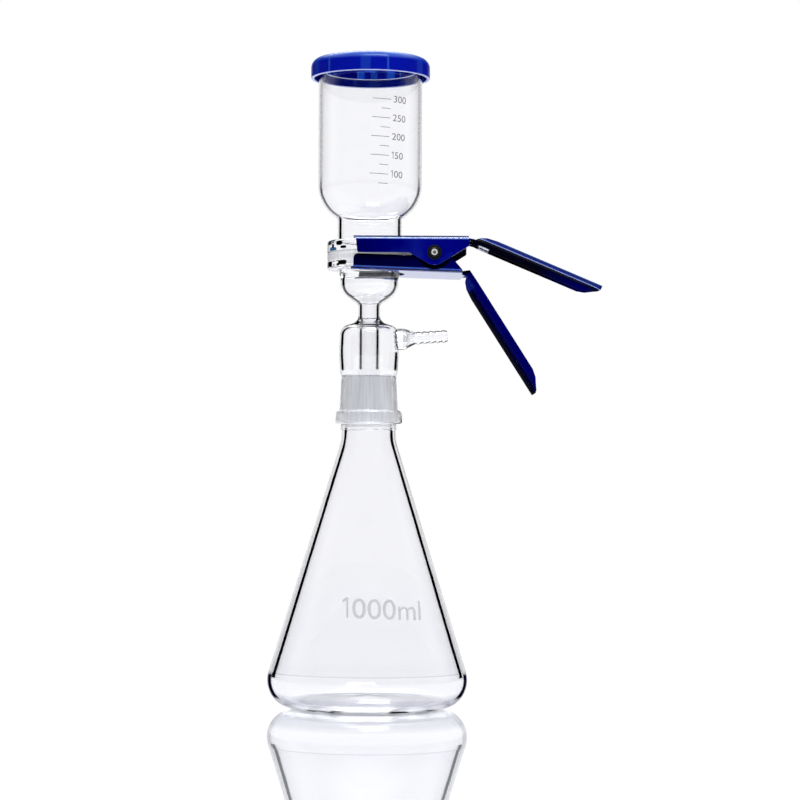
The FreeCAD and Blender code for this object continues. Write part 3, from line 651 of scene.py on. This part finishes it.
def with_grip(tree, along, tone, shine, grip_with_painted_light):
    """Colour and gloss of a lever whose handle has this colour and hardly any gloss."""
    on_grip = within(tree, along, -0.5 * MM, BEYOND, MM)
    return mix(tree, on_grip, tone, grip_with_painted_light), mix(tree, on_grip, shine, (0.03, 0.03, 0.03))


def upper_grip(tree, along, crown):
    """Colour of the upper handle: painted shade underneath, a painted highlight along its crowned edge,
    a painted dark line at its ridge and painted light on its top, with a painted highlight patch at
    its root and painted shade towards its tip.
    """
    grip_with_painted_light = graded(tree, crown, [
        (-6 * MM, (0.001, 0.001, 0.003)), (1.4 * MM, (0.001, 0.001, 0.006)),
        (1.8 * MM, (0.25, 0.33, 0.6)), (2.2 * MM, (0.002, 0.01, 0.2)),
        (3.1 * MM, (0.001, 0.008, 0.14)), (3.5 * MM, (0.0, 0.0, 0.03)),
        (3.9 * MM, (0.0, 0.002, 0.06)), (4.4 * MM, (0.01, 0.055, 0.25))])
    # painted highlight patch where the handle leaves the lever
    root = every(tree, within(tree, along, 4.5 * MM, 10.5 * MM, MM),
                 within(tree, crown, -6 * MM, -3.2 * MM, 0.4 * MM))
    grip_with_painted_light = mix(tree, root, grip_with_painted_light, (0.55, 0.57, 0.68))
    # painted shade towards the tip
    painted_tip_shade = every(tree, graded(tree, along, [(45 * MM, 0.0), (75 * MM, 1.0)]),
                within(tree, crown, -10 * MM, -2 * MM, 3 * MM))
    return mix(tree, painted_tip_shade, grip_with_painted_light, (0.0, 0.0, 0.07))


def upper_tones(tree, look, outer):
    """Colour and gloss of the upper lever's enamel, with painted light and shade: the wall lighter
    towards the ear, a painted highlight along the web's bend and painted shade inside the channel.
    """
    across = coordinate(tree, "X")
    up = coordinate(tree, "Z")
    along, crown = lever_frame(tree, look.upper_root, look.upper_bend, 1)
    # painted light: the wall grows lighter towards the ear
    wall = graded(tree, across, [
        (-12 * MM, (0.0, 0.0, 0.065)), (20 * MM, (0.0, 0.0, 0.12)), (30 * MM, (0.002, 0.005, 0.17)),
        (36 * MM, (0.001, 0.002, 0.16)), (66 * MM, (0.0, 0.0, 0.14))])
    web = look.upper_root[1]
    # painted highlight along the bend from the wall to the web
    edge = graded(tree, up, [
        (web - 2.6 * MM, (0.0, 0.0, 0.1)), (web - 2 * MM, (0.12, 0.2, 0.55)),
        (web - 1.2 * MM, (0.25, 0.35, 0.7)), (web - 0.7 * MM, (0.01, 0.03, 0.2)),
        (web - 0.3 * MM, (0.0, 0.005, 0.1))])
    tone = mix(tree, within(tree, up, web - 2.4 * MM, BEYOND, 0.3 * MM), wall, edge)
    over_web = calc(tree, "SUBTRACT", up, web)
    tone = mix(tree, calc(tree, "GREATER_THAN", over_web, -0.3 * MM), tone, (0.0, 0.004, 0.16))
    # painted shade inside the channel
    tone = mix(tree, inner_face(tree, outer, over_web), tone, (0.0, 0.0, 0.004))
    shine = graded(tree, over_web, [
        (-0.9 * MM, 0.5), (-0.6 * MM, 0.02), (-0.3 * MM, 0.02), (-0.1 * MM, 0.1)])
    return with_grip(tree, along, tone, shine, upper_grip(tree, along, crown))


def lower_grip(tree, along, crown):
    """Colour of the lower handle: deep blue, with painted shade on its crowned side and a painted
    highlight where it leaves the web.
    """
    grip_with_painted_light = graded(tree, crown, [
        (-6 * MM, (0.0, 0.0, 0.05)), (-3 * MM, (0.0, 0.0, 0.085)), (1.2 * MM, (0.0, 0.0, 0.075)),
        (2.2 * MM, (0.0, 0.0, 0.012)), (6 * MM, (0.001, 0.001, 0.004))])
    # painted highlight where the handle leaves the web
    root = every(tree, within(tree, along, -2 * MM, 8.5 * MM, 2 * MM),
                 within(tree, crown, 0.0, 10 * MM, MM))
    return mix(tree, root, grip_with_painted_light, (0.002, 0.008, 0.15))


def lower_tones(tree, look, outer):
    """Colour and gloss of the lower lever's enamel, with painted shade: darker towards the jaws, under
    the upper one, round the rivet and inside the channel, and a painted highlight along the web's bend.
    """
    along, crown = lever_frame(tree, look.lower_root, look.lower_bend, -1)
    over_web = lever_frame(tree, look.lower_root, look.lower_tilt, -1)[1]
    # painted shade: the wall darkens towards the jaws
    wall = graded(tree, coordinate(tree, "X"), [
        (-15 * MM, (0.0, 0.0, 0.02)), (22 * MM, (0.0, 0.0, 0.027)), (35 * MM, (0.0, 0.0, 0.05)),
        (60 * MM, (0.0, 0.0, 0.09))])
    # painted shade under the upper lever
    shade = graded(tree, over_web, [(-10 * MM, 1.0), (-6.5 * MM, 0.0)])
    tone = mix(tree, shade, wall, (0.0, 0.0, 0.003))
    # painted highlight along the bend from the wall to the web
    edge = graded(tree, over_web, [
        (-2.4 * MM, (0.0, 0.0, 0.08)), (-1.9 * MM, (0.05, 0.12, 0.45)), (-1.4 * MM, (0.0, 0.01, 0.2)),
        (-0.3 * MM, (0.0, 0.0, 0.12)), (-0.1 * MM, (0.02, 0.06, 0.3))])
    tone = mix(tree, within(tree, over_web, -2.2 * MM, BEYOND, 0.3 * MM), tone, edge)
    # painted shade round the rivet, under the upper lever's ear
    rivet = distance(tree, (look.pivot[0], -outer, look.pivot[1]))
    ring = within(tree, rivet, 7 * MM, 10.8 * MM, 0.7 * MM)
    dark = calc(tree, "MAXIMUM", ring, inner_face(tree, outer, over_web))
    tone = mix(tree, dark, tone, (0.0, 0.0, 0.003))
    shine = graded(tree, over_web, [(-1.2 * MM, 0.03), (-0.2 * MM, 1.0)])
    return with_grip(tree, along, tone, shine, lower_grip(tree, along, crown))


def enamel(name, look, painted_light_tones, outer):
    """Blue enamel: a deep colour under a gloss that rounds the sheet's cut edges."""
    made, tree = material(name)
    rounded = add(tree, "ShaderNodeBevel", {"Radius": look.edge_round}, samples=6).outputs[0]
    flow = uneven(tree, noise(tree, 220.0, 3.0), 0.05, 0.4 * MM, rounded)
    tone, shine = painted_light_tones(tree, look, outer)
    pale = mix(tree, 0.12, tone, (0.03, 0.09, 0.4))
    fleck = ramp(tree, noise(tree, 90.0, 3.0), [(0.55, 0.0), (0.75, 1.0)])
    colour = mix(tree, every(tree, fleck, shine), tone, pale)
    opaque(tree, base_color=colour, roughness=0.5, specular_ior_level=0.0, coat_weight=shine,
           coat_roughness=0.06, coat_ior=1.6, normal=flow, coat_normal=flow)
    return made


def lid_plastic(look, inner_radius, rim):
    """Glossy on top and round the skirt; deep on the plug inside the funnel. A lighter top, upright
    streaks on the skirt and the plug and pale lines along their lower edges are painted highlights.
    """
    made, tree = material("blue_plastic")
    height = coordinate(tree, "Z")
    dark = [0.85 * c for c in look.plastic]
    outer = mix(tree, noise(tree, 40.0), dark, look.plastic)
    # painted light: the top is lighter than the skirt
    shoulder = graded(tree, height, [(rim - 1.5 * MM, 0.0), (rim + 1.5 * MM, 1.0)])
    outer = mix(tree, shoulder, outer, (0.004, 0.045, 0.3))
    # the plug's blue, with painted highlights in upright streaks
    lining_with_painted_streaks = ramp(tree, noise(tree, (120, 120, 4), 1.0), [
        (0.35, (0.0, 0.0, 0.2)), (0.52, (0.0, 0.004, 0.3)), (0.62, (0.02, 0.12, 0.7))])
    skirt = without(tree, shoulder)
    # painted highlights in upright streaks round the skirt and the plug
    for degrees, half_degrees, strength in ((-4, 4.5, 0.14), (17.5, 0.7, 0.35)):
        half = math.radians(half_degrees)
        painted_streak = within(tree, beside_turn(tree, math.radians(degrees)), -half, half, math.radians(0.6))
        painted_streak = every(tree, painted_streak, skirt, strength)
        outer = mix(tree, painted_streak, outer, (0.03, 0.13, 0.5))
        lining_with_painted_streaks = mix(tree, painted_streak, lining_with_painted_streaks, (0.1, 0.35, 0.8))
    # painted highlights along the lower edges of the skirt and the plug
    lip = 0.35 * MM
    painted_skirt_lip_highlight, painted_plug_lip_highlight = [within(tree, height, end - lip, end + lip, 0.15 * MM)
                           for end in (look.skirt_end, look.plug_end)]
    outer = mix(tree, painted_skirt_lip_highlight, outer, (0.35, 0.38, 0.62))
    lining_with_painted_streaks = mix(tree, painted_plug_lip_highlight, lining_with_painted_streaks, (0.5, 0.53, 0.75))
    off_axis = distance(tree, (0, 0, 0), (1, 1, 0))
    inner = every(tree, within(tree, off_axis, -BEYOND, inner_radius, 0.5 * MM),
                  within(tree, height, 0.0, rim, 0.3 * MM))
    opaque(tree, base_color=mix(tree, inner, outer, lining_with_painted_streaks), roughness=0.4, specular_ior_level=0.15,
           specular_tint=(0.1, 0.5, 1.0), coat_weight=calc(tree, "MULTIPLY_ADD", inner, -0.15, 0.15),
           coat_roughness=0.12, normal=uneven(tree, noise(tree, 400.0, 4.0), 0.03, 0.3 * MM))
    return made


def washer_plastic():
    """Dull black plastic with a faint uneven gloss."""
    made, tree = material("black_plastic")
    grain = noise(tree, 400.0, 4.0)
    colour = mix(tree, noise(tree, 40.0), (0.0017, 0.0017, 0.00255), (0.002, 0.002, 0.003))
    opaque(tree, base_color=colour, roughness=slide(tree, grain, 0.0, 1.0, 0.42, 0.78),
           specular_ior_level=0.1, normal=uneven(tree, grain, 0.15, 0.3 * MM))
    return made


def rivet_steel(pivot):
    """Steel of the rivet, black round the bright lip of its hollow, with painted shade inside the
    hollow.
    """
    made, tree = material("rivet_steel")
    off = distance(tree, (pivot[0], 0, pivot[1]), (1, 0, 1))
    # darker inside the hollow, as painted shade
    tone = graded(tree, off, [(0.9 * MM, 0.25), (1.2 * MM, 0.9), (1.9 * MM, 0.8), (2.2 * MM, 0.01)])
    opaque(tree, base_color=tone, metallic=0.6, roughness=0.35, specular_ior_level=0.3,
           normal=uneven(tree, noise(tree, 1200.0), 0.3, 0.2 * MM))
    return made


def steel(name, colour, roughness, scratches):
    """Bare or plated metal with fine marks along one direction."""
    made, tree = material(name)
    grain = noise(tree, scratches, 4.0)
    dark = [0.8 * c for c in colour]
    opaque(tree, base_color=mix(tree, grain, dark, colour), metallic=1.0,
           roughness=slide(tree, grain, 0.0, 1.0, 0.6 * roughness, 1.6 * roughness))
    return made


# ---- meshes


def new_piece(name, data):
    """A new object in the scene with this mesh, light or camera."""
    piece = bpy.data.objects.new(name, data)
    bpy.context.scene.collection.objects.link(piece)
    return piece


def shaped(name, shape, made):
    """A new object of this shape, which is used up, in this material."""
    mesh = bpy.data.meshes.new(name)
    shape.to_mesh(mesh)
    shape.free()
    mesh.materials.append(made)
    return new_piece(name, mesh)


def cut(shape, at, way, clear=False):
    """Cuts a shape across, and clears what is behind the cut if asked."""
    bmesh.ops.bisect_plane(shape, geom=shape.verts[:] + shape.edges[:] + shape.faces[:],
                           plane_co=at, plane_no=way, clear_inner=clear)


def oblong(name, left, right, low, high, level=0.0):
    """Flat oblong mesh."""
    mesh = bpy.data.meshes.new(name)
    corners = [(left, low, level), (right, low, level), (right, high, level), (left, high, level)]
    mesh.from_pydata(corners, [], [(0, 1, 2, 3)])
    return mesh


def dress(node, made):
    """Gives a CAD node's object this material."""
    slots = frame["nodes"][node].material_slots
    if not slots:
        raise RuntimeError(f"{node} has no material slot")
    for slot in slots:
        slot.material = made


def stand_in(node, name, materials):
    """A copy of a CAD node that is dressed in its place and rides on the same body."""
    solid = frame["nodes"][node]
    piece = new_piece(name, solid.data.copy())
    piece.data.materials.clear()
    for made in materials:
        piece.data.materials.append(made)
    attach(piece, solid["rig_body"])
    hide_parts(node)
    return piece


def on_barb(face):
    """Whether a face of the base belongs to its hose barb."""
    at = face.center
    beside = abs(face.normal.x) < 0.75 and abs(at.y) < BARB_HALF_WIDTH
    past = at.x > BARB_START and (beside or at.x > PAST_CHAMBER)
    return past and at.z < FACE_Z - BARB_DROP


def split_inside(piece):
    """Faces that look towards the glassware's axis take the second material, and those of the
    hose barb the third, where there is one."""
    has_barb = len(piece.data.materials) > 2
    for face in piece.data.polygons:
        away = Vector((face.center.x, face.center.y, 0))
        inwards = away.length > 0 and face.normal.dot(away.normalized()) < -0.15
        face.material_index = 2 if has_barb and on_barb(face) else int(inwards)


def spring_half(lever, side, made):
    """The half of the spring towards this side, named after its leg's lever."""
    half = bmesh.new()
    half.from_mesh(frame["nodes"]["torsion_spring"].data)
    cut(half, (0, 0, 0), (0, side, 0), clear=True)
    bmesh.ops.holes_fill(half, edges=[edge for edge in half.edges if edge.is_boundary])
    bmesh.ops.triangulate(half, faces=[face for face in half.faces if len(face.verts) > 3])
    piece = shaped("spring_" + lever, half, made)
    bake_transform(piece)
    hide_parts("torsion_spring")


def words_mesh(text, height):
    """Flat mesh of text with digits of this height, from its left end at the origin. A 1 in
    front gets a stem and a flag of its own."""
    curve = bpy.data.curves.new(text, "FONT")
    curve.body = text.removeprefix("1")
    curve.size = height / DIGIT_SHARE
    curve.offset = BOLDNESS * curve.size
    holder = bpy.data.objects.new(text, curve)
    flat = bpy.data.meshes.new_from_object(holder)
    bpy.data.objects.remove(holder)
    flat.transform(Matrix.Scale(WIDENING, 4, (1, 0, 0)))
    if text.startswith("1"):
        left = min(v.co.x for v in flat.vertices)
        flat.transform(Matrix.Translation((ONE_ADVANCE * height - left, 0, 0)))
        sheet = bmesh.new()
        sheet.from_mesh(flat)
        for corners in (ONE_STEM, ONE_FLAG):
            sheet.faces.new([sheet.verts.new((x * height, y * height, 0)) for x, y in corners])
        sheet.to_mesh(flat)
        sheet.free()
    return flat


def scale_meshes(look):
    """Flat meshes of the graduation's marks and numbers, about its middle."""
    parts = []
    middle = (look.scale_top + look.scale_bottom) / 2
    half = MARK_THICKNESS / 2
    for volume in range(look.scale_bottom, look.scale_top + 1, look.scale_step):
        height = (volume - middle) / look.scale_step * look.mark_pitch
        numbered = volume % (2 * look.scale_step) == 0
        start = LONG_MARK_START if numbered else 0
        parts.append(oblong("mark", start, MARK_END, height - half, height + half))
        if numbered:
            digits = words_mesh(str(volume), look.digit_height)
            foot = height - NUMBER_DROP * look.digit_height
            digits.transform(Matrix.Translation((NUMBER_START, foot, 0)))
            parts.append(digits)
    return parts


def touch(skin, turn, height):
    """Point just outside the glass, at this height and angle to the right of the front."""
    way = Vector((math.sin(turn), -math.cos(turn), 0))
    at = skin.ray_cast(Vector((0, 0, height)) + way, -way)[0]
    if at is None:
        raise RuntimeError(f"no glass at height {height}")
    return at + way * PRINT_PROUD


def cut_small(sheet):
    """Cuts a flat sheet every millimetre both ways, so that it can follow the glass."""
    for way in (Vector((1, 0, 0)), Vector((0, 1, 0))):
        ends = [v.co.dot(way) for v in sheet.verts]
        along = min(ends) + MM
        while along < max(ends):
            cut(sheet, along * way, way)
            along += MM
    bmesh.ops.triangulate(sheet, faces=sheet.faces[:])


def printed(name, node, parts, angle, height, lean, ink):
    """Flat meshes, in (along, up), laid on a node's glass about the point at angle and height."""
    sheet = bmesh.new()
    for part in parts:
        sheet.from_mesh(part)
        bpy.data.meshes.remove(part)
    sheet.transform(Matrix.Rotation(-lean, 4, "Z"))
    cut_small(sheet)
    solid = frame["nodes"][node]
    skin = BVHTree.FromPolygons([v.co for v in solid.data.vertices],
                                [face.vertices for face in solid.data.polygons])
    for vert in sheet.verts:
        middle = touch(skin, angle, height + vert.co.y)
        turn = angle + vert.co.x / math.hypot(middle.x, middle.y)
        vert.co = touch(skin, turn, height + vert.co.y)
    piece = shaped(name, sheet, print_ink(name + "_ink", ink))
    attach(piece, solid["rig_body"])


# ---- stage


def turned_back(tree):
    """1 for light that a single wall of glass turned back and let out again."""
    turned = calc(tree, "MINIMUM", ray(tree, "Glossy Depth"), 1.0)
    once = calc(tree, "LESS_THAN", ray(tree, "Transmission Depth"), 2.5)
    return every(tree, ray(tree, "Is Transmission Ray"), turned, once)


def floor():
    """White glossy floor that mirrors the glass and keeps its shadow. Gloss sees it dark in
    front of the unit and white behind it."""
    half = 4.0
    mesh = oblong("floor", -half, half, -half, half, level=-0.2 * MM)
    made, tree = material("white_floor")
    matt = shader(tree, "BsdfDiffuse", color=(0.95, 0.95, 0.95))
    glow = shader(tree, "Emission", color=(0.86, 0.89, 1.0), strength=1.5)
    blurred = calc(tree, "SUBTRACT", ray(tree, "Is Glossy Ray"), ray(tree, "Is Singular Ray"), clamp=True)
    blurred = calc(tree, "SUBTRACT", blurred, ray(tree, "Transmission Depth"), clamp=True)
    blurred = calc(tree, "MAXIMUM", blurred, turned_back(tree))
    behind = graded(tree, coordinate(tree, "Y"), [(-0.4, 0.0), (-0.15, 1.0)])
    dark = shader(tree, "Emission", color=BLACK, strength=0.0)
    lit = mix_shaders(tree, 0.6, matt, glow)
    base = mix_shaders(tree, every(tree, blurred, without(tree, behind)), lit, dark)
    mirror = shader(tree, "BsdfGlossy", color=WHITE, roughness=0.0)
    fresnel = add(tree, "ShaderNodeFresnel", {"IOR": 1.45}).outputs[0]
    show(tree, mix_shaders(tree, calc(tree, "MULTIPLY_ADD", fresnel, 0.4, 0.6), base, mirror))
    mesh.materials.append(made)
    new_piece("floor", mesh)


def surroundings():
    """White all round for the camera and through the glass; gloss sees a dark room with a
    white backdrop and a bright ceiling."""
    world = bpy.data.worlds.new("studio")
    bpy.context.scene.world = world
    world.use_nodes = True
    tree = world.node_tree
    tree.nodes.clear()
    way = tree.nodes.new("ShaderNodeTexCoord").outputs["Generated"]
    back = component(tree, way, "Y")
    up = component(tree, way, "Z")
    backdrop = every(tree, ramp(tree, back, [(0.0, 0.0), (0.86, 0.0), (0.94, 1.0)]),
                     ramp(tree, up, [(0.0, 1.0), (0.3, 1.0), (0.4, 0.0)]))
    ceiling = every(tree, ramp(tree, up, [(0.0, 0.0), (0.6, 0.0), (0.72, 1.0)]), 4.0)
    room = calc(tree, "MAXIMUM", backdrop, ceiling)
    through_glass = (1.05, 1.05, 1.065)
    level = mix(tree, ray(tree, "Is Glossy Ray"), (0.25, 0.25, 0.25), room)
    level = mix(tree, ray(tree, "Is Transmission Ray"), level, through_glass)
    front = graded(tree, back, [(-0.3, 1.0), (0.1, 0.0)])
    level = mix(tree, every(tree, front, turned_back(tree)), level, BLACK)
    mirrored = every(tree, ray(tree, "Is Singular Ray"), ray(tree, "Is Reflection Ray"))
    level = mix(tree, mirrored, level, through_glass)
    level = mix(tree, ray(tree, "Is Camera Ray"), level, WHITE)
    glow = shader(tree, "Background", color=level, strength=1.0)
    add(tree, "ShaderNodeOutputWorld", {"Surface": glow})


def lamp(name, at, aim, size, power):
    """An oblong softbox that faces its aim."""
    data = bpy.data.lights.new(name, "AREA")
    data.shape = "RECTANGLE"
    data.size, data.size_y = size
    data.energy = power
    made = new_piece(name, data)
    made.location = at
    made.rotation_mode = "QUATERNION"
    made.rotation_quaternion = (Vector(aim) - Vector(at)).to_track_quat("-Z", "Y")


def lamps():
    """One softbox over the front and a weaker one over the back."""
    aim = (0.03, 0, 0.28)
    size = (0.7, 0.35)
    lamp("key_softbox", (0.15, -0.5, 1.4), aim, size, 16.0)
    lamp("back_softbox", (-0.1, 0.7, 1.2), aim, size, 6.0)


def camera(look):
    """A long lens in front of the unit, level with the flask."""
    data = bpy.data.cameras.new("camera")
    data.sensor_width = 36.0
    data.lens = look.lens
    data.clip_start, data.clip_end = 0.01, 50.0
    made = new_piece("camera", data)
    turn = Matrix.Rotation(math.radians(90) + look.tilt, 4, "X") @ Matrix.Rotation(look.roll, 4, "Z")
    made.matrix_world = Matrix.Translation((look.side, -look.distance, look.height)) @ turn
    bpy.context.scene.camera = made
    bpy.context.scene.view_settings.view_transform = "Standard"


# ---- operators


class FILTRATION_OT_glassware(bpy.types.Operator):
    """Dress the flask, the filter base and the funnel in clear and ground glass"""

    bl_idname = "filtration.glassware"
    bl_label = "Glassware"

    def execute(self, context):
        look = context.scene.filtration_glass
        for node, name, looks in (("receiving_flask", "flask_glass", flask_looks),
                                  ("filter_base", "filter_base_glass", base_looks),
                                  ("funnel", "funnel_glass", funnel_looks)):
            split_inside(stand_in(node, name, looks(look)))
        dress("fritted_disc", sinter())
        return {"FINISHED"}


class FILTRATION_OT_print(bpy.types.Operator):
    """Print the flask's capacity and the funnel's graduation"""

    bl_idname = "filtration.print"
    bl_label = "Print"

    def execute(self, context):
        look = context.scene.filtration_print
        words = words_mesh(look.capacity, look.capacity_height)
        width = max(v.co.x for v in words.vertices)
        words.transform(Matrix.Translation((-width / 2, -look.capacity_height / 2, 0)))
        angle, height = look.capacity_place
        printed("capacity", "receiving_flask", [words], angle, height, look.lean, look.capacity_ink)

        half = (look.scale_top - look.scale_bottom) / 2 / look.scale_step * look.mark_pitch
        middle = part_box("funnel")[1].z - look.scale_drop - half
        printed("graduation", "funnel", scale_meshes(look), look.scale_angle, middle, look.lean,
                look.scale_ink)
        return {"FINISHED"}


class FILTRATION_OT_lid(bpy.types.Operator):
    """Dress the lid in glossy moulded plastic"""

    bl_idname = "filtration.lid"
    bl_label = "Lid"

    def execute(self, context):
        inner_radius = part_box("funnel")[1].x - 0.5 * MM
        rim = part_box("lid")[1].z - 3.5 * MM
        dress("lid", lid_plastic(context.scene.filtration_lid, inner_radius, rim))
        return {"FINISHED"}


class FILTRATION_OT_clamp(bpy.types.Operator):
    """Dress the levers in blue enamel"""

    bl_idname = "filtration.clamp"
    bl_label = "Clamp"

    def execute(self, context):
        look = context.scene.filtration_clamp
        for node, painted_light_tones in (("clamp_upper_lever", upper_tones), ("clamp_lower_lever", lower_tones)):
            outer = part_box(node)[1].y
            dress(node, enamel(node + "_enamel", look, painted_light_tones, outer))
        return {"FINISHED"}


class FILTRATION_OT_pivot(bpy.types.Operator):
    """Dress the rivet, washers, bush and spring"""

    bl_idname = "filtration.pivot"
    bl_label = "Pivot and spring"

    def execute(self, context):
        pivot = context.scene.filtration_clamp.pivot
        dress("pivot_pin", rivet_steel(pivot))
        dress("spring_bush", steel("plated_steel", (0.78, 0.79, 0.81), 0.16, (900, 200, 900)))
        wire = steel("spring_steel", (0.5, 0.5, 0.52), 0.3, (400, 400, 1600))
        for lever, side in (("upper_lever", -1), ("lower_lever", 1)):
            spring_half(lever, side, wire)
        washer = washer_plastic()
        dress("front_washer", washer)
        dress("rear_washer", washer)
        return {"FINISHED"}


class FILTRATION_OT_stage(bpy.types.Operator):
    """Set the floor, the light round the unit and the camera"""

    bl_idname = "filtration.stage"
    bl_label = "Stage"

    def execute(self, context):
        floor()
        surroundings()
        lamps()
        camera(context.scene.filtration_stage)
        return {"FINISHED"}


class FILTRATION_PT_panel(bpy.types.Panel):
    """Lists the pieces of the filtration unit"""

    bl_label = "Filtration unit"
    bl_space_type = "VIEW_3D"
    bl_region_type = "UI"
    bl_category = "Filtration"

    def draw(self, context):
        for step in STEPS:
            self.layout.operator(step.bl_idname)


LOOKS = {"filtration_glass": GlassLook, "filtration_print": PrintLook, "filtration_clamp": ClampLook,
         "filtration_lid": LidLook, "filtration_stage": StageLook}
STEPS = (FILTRATION_OT_glassware, FILTRATION_OT_print, FILTRATION_OT_lid, FILTRATION_OT_clamp,
         FILTRATION_OT_pivot, FILTRATION_OT_stage)
CLASSES = (*LOOKS.values(), *STEPS, FILTRATION_PT_panel)


def register():
    for made in CLASSES:
        bpy.utils.register_class(made)
    for name, group in LOOKS.items():
        setattr(bpy.types.Scene, name, PointerProperty(type=group))


def unregister():
    for name in LOOKS:
        delattr(bpy.types.Scene, name)
    for made in reversed(CLASSES):
        bpy.utils.unregister_class(made)


def main():
    register()
    for step in STEPS:
        group, name = step.bl_idname.split(".")
        getattr(getattr(bpy.ops, group), name)()


if __name__ == "__main__":
    main()
